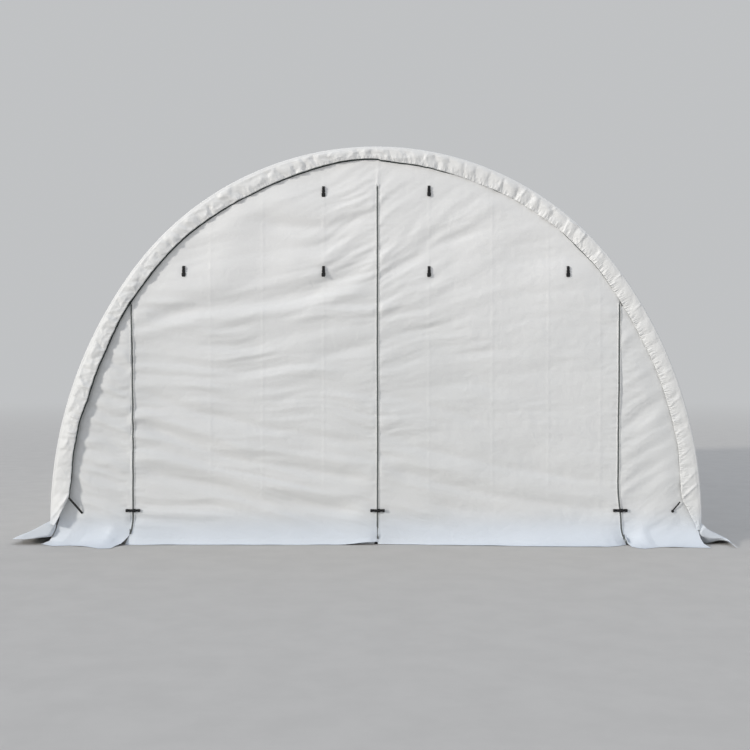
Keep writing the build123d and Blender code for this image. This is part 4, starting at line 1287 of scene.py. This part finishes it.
roll_webbing, roll_buckles = [], []
STRAP_PLACES = [
    (-1.8, 2.556), (-0.491, 2.554), (0.496, 2.552), (1.796, 2.552), (-0.491, 3.300), (0.496, 3.306)]
for number, (x, z) in enumerate(STRAP_PLACES):
    face = float(front_surface(x, z))
    print("strap at", x, z, "forward", round(face, 4))
    roll_webbing += hanging_strap(x, z, face, 0.002 * math.sin(number))
    for up, wide, high in ((0.031, 0.027, 0.026), (0.003, 0.031, 0.021), (-0.028, 0.037, 0.034)):
        place = (x, -(FRAME_HALF + face + 0.009), z + up)
        roll_buckles.append(rounded_bar(place, (wide, 0.012, high), 0.0, 6.0))
make_piece("roll_up_straps", roll_webbing, WEBBING, ["roll_straps"])
make_piece("roll_up_buckles", roll_buckles, PLASTIC, ())
zip_bars, zip_knobs = [], []
# the buckles of one strap: distance from the zipper, width and height
KNOBS = ((-0.057, 0.022, 0.029), (-0.018, 0.026, 0.026), (0.010, 0.034, 0.034), (0.057, 0.022, 0.029))
for line in (ZIP_LEFT_LINE, ZIP_CENTRE_LINE, ZIP_RIGHT_LINE):
    x = float(zip_x(0.32, line))
    face = max(float(front_surface(x + d, 0.32)) for d in (-0.07, 0.0, 0.07))
    path = [(x - 0.066, face + 0.003, 0.321), (x, face + 0.010, 0.318), (x + 0.066, face + 0.003, 0.321)]
    zip_bars.append(ribbon(path, 0.024))
    for across, wide, high in KNOBS:
        place = (x + across, -(FRAME_HALF + face + 0.010), 0.319)
        zip_knobs.append(rounded_bar(place, (wide, 0.018, high), 0.0, 5.0))
make_piece("zipper_keeper_straps", zip_bars, WEBBING, ["zip_straps"])
make_piece("zipper_keeper_buckles", zip_knobs, PLASTIC, ())
face = float(front_surface(-2.746, 0.291))
path = [(-2.868, 0.106, 0.456), (-2.852, 0.111, 0.436), (-2.80, 0.080, 0.365),
        (-2.746, face + 0.004, 0.291)]
tie = ribbon(path, 0.020)
make_piece("corner_tie_strap_left", [tie], WEBBING, ["corner_tie_left"])
face = float(front_surface(2.776, 0.318))
path = [(2.842, 0.062, 0.400), (2.812, face + 0.016, 0.362), (2.776, face + 0.005, 0.316)]
tie = ribbon(path, 0.013)
knob = rounded_bar((2.775, -(FRAME_HALF + face + 0.010), 0.312), (0.026, 0.014, 0.024), 0.6, 4.0)
make_piece("corner_tie_strap_right", [tie, knob], WEBBING, ["corner_tie_right"])

# %% [markdown]
# ## Galvanised steel
# The tubes, clips, plates and door bars keep the meshes of the CAD, and only the two rails get new
# ones. Hot-dip zinc shows a faint spangle of grey cells, dulls as it ages and gathers dirt near the
# ground, so one material covers them all, with its pattern on Object coordinates.

# %% Steel
STEEL, tree, shader, along, local = new_material("galvanised_tube", 0.42, 0.85)
zinc = use_group(tree, SPANGLE, local, Scale=85.0)
soil = use_group(tree, DUST, local)
tone = blend_colours(tree, zinc["Tone"], (0.47, 0.49, 0.50), (0.68, 0.69, 0.70))
tone = blend_colours(tree, times(tree, soil["Mask"], 0.6), tone, (0.36, 0.31, 0.25))
rough = ranged(tree, zinc["Tone"], 0.0, 1.0, 0.34, 0.52)
dress(tree, shader, tone, bump(tree, zinc["Height"], 0.0002, 0.3), rough)
STEEL_PARTS = ("arch", "purlin", "feet", "front_post", "back_post", "front_header", "door_bar")
steel_nodes = [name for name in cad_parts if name.startswith(STEEL_PARTS)]
for name in steel_nodes:
    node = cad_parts[name]
    for place in node.material_slots:
        place.material = STEEL
    if not node.material_slots:
        node.data.materials.append(STEEL)
print("steel on", len(steel_nodes), "nodes")


# %% Tension rails
def rail_tube(side):
    """Round tube of 21 mm through the skirt's pocket, its ends short of the skirt's and closed by caps."""
    low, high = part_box("tension_rail_left" if side < 0 else "tension_rail_right")
    y = np.array([-3.575, -3.575, -3.573, 3.583, 3.585, 3.585])[:, None]
    radius = np.array([0.0, 0.0085, 0.0105, 0.0105, 0.0085, 0.0])[:, None]
    turn = np.linspace(0, 2 * np.pi, 25)[None, :]
    x = (low.x + high.x) / 2 + radius * np.cos(turn)
    z = (low.z + high.z) / 2 + radius * np.sin(turn)
    points = grid(x, y, z)
    return points, grid(x, y), tuple(points.reshape(-1, 3).mean(axis=0))


for side, word in SIDES:
    nodes = [f"tension_rail_{word}"]
    make_piece(f"rail_tube_{word}", [rail_tube(side)], STEEL, nodes)

# %% [markdown]
# ## Floor, light and camera
# The floor is a large pale disc. Near the shelter it is a plain surface that takes the shadow, and
# far off it turns into the background's colour for the camera, so no horizon shows. One soft sun from
# the front left and an even sky light the cloth without clipping it to white.

# %% Floor
FLOOR_TONE = (0.585, 0.570, 0.545)
BACKGROUND = (0.53, 0.54, 0.55)


def mixed(tree, mask, first, second, output):
    """A Mix Shader of two shader nodes, linked to the Surface of an output node."""
    mix = tree.nodes.new("ShaderNodeMixShader")
    tree.links.new(mask, mix.inputs["Fac"])
    for source, place in ((first, 1), (second, 2)):
        tree.links.new(source.outputs[0], mix.inputs[place])
    tree.links.new(mix.outputs[0], tree.nodes[output].inputs["Surface"])


floor_material, tree, shader, along, local = new_material("pale_floor", 0.9)
speckle = ranged(tree, noise_node(tree, local, 3.0, 6.0, 0.6), 0.3, 0.7)
tone = blend_colours(tree, speckle, FLOOR_TONE, [c * 0.95 for c in FLOOR_TONE])
tree.links.new(tone, shader.inputs["Base Color"])
fill(shader, Specular_IOR_Level=0.1)
glow = tree.nodes.new("ShaderNodeEmission")
fill(glow, Color=(*BACKGROUND, 1.0))
reach = tree.nodes.new("ShaderNodeVectorMath")
reach.operation = "LENGTH"
tree.links.new(local, reach.inputs[0])
far = ranged(tree, reach.outputs["Value"], 5.0, 55.0)
ray = tree.nodes.new("ShaderNodeLightPath").outputs
seen = math_node(tree, "MAXIMUM", ray["Is Camera Ray"], ray["Is Glossy Ray"])
mixed(tree, times(tree, far, seen), shader, glow, "Material Output")
FLOOR_RADIUS, FLOOR_RINGS, FLOOR_SPOKES = 60.0, 25, 73
ring = np.linspace(0, 1, FLOOR_RINGS)[:, None] ** 2 * FLOOR_RADIUS
around = np.linspace(0, 2 * np.pi, FLOOR_SPOKES)[None, :]
disc = grid(ring * np.cos(around), ring * np.sin(around), 0.0)
floor_mesh = bpy.data.meshes.new("floor")
floor_mesh.from_pydata(disc.reshape(-1, 3).tolist(), [], grid_quads(FLOOR_RINGS, FLOOR_SPOKES).tolist())
floor_mesh.materials.append(floor_material)
floor = bpy.data.objects.new("floor", floor_mesh)
bpy.context.scene.collection.objects.link(floor)
print("floor ready")

# %% Light
world = bpy.data.worlds.new("soft_sky")
bpy.context.scene.world = world
world.use_nodes = True
tree = world.node_tree
sky = tree.nodes["Background"]
up = split(tree, tree.nodes.new("ShaderNodeTexCoord").outputs["Generated"])["Z"]
tone = blend_colours(tree, ranged(tree, up, 0.0, 0.9), (0.97, 0.94, 0.90), (0.95, 1.03, 1.17))
tree.links.new(tone, sky.inputs["Color"])
fill(sky, Strength=0.65)
backdrop = tree.nodes.new("ShaderNodeBackground")
fill(backdrop, Color=(*BACKGROUND, 1.0))
ray = tree.nodes.new("ShaderNodeLightPath").outputs
through = math_node(tree, "MAXIMUM", ray["Is Glossy Ray"], ray["Is Transmission Ray"])
mixed(tree, math_node(tree, "MAXIMUM", ray["Is Camera Ray"], through), sky, backdrop, "World Output")
sun = bpy.data.lights.new("soft_sun", "SUN")
sun.energy = 1.8
sun.angle = math.radians(7)
sun.color = (1.0, 0.955, 0.89)
lamp = bpy.data.objects.new("soft_sun", sun)
bpy.context.scene.collection.objects.link(lamp)
lamp.rotation_euler = Vector((-1.6, -1.0, 0.56)).to_track_quat("Z", "Y").to_euler()
print("light ready")

# %% Camera
eye = bpy.data.cameras.new("eye")
eye.lens = 51.17
eye.sensor_width = 36.0
eye.clip_end = 200.0
camera = bpy.data.objects.new("eye", eye)
bpy.context.scene.collection.objects.link(camera)
camera.location = (-0.0094, -13.687, 1.586)
camera.rotation_euler = (math.radians(90), 0, 0)
bpy.context.scene.camera = camera
bpy.context.scene.view_settings.view_transform = "Standard"
print("camera at", tuple(camera.location))
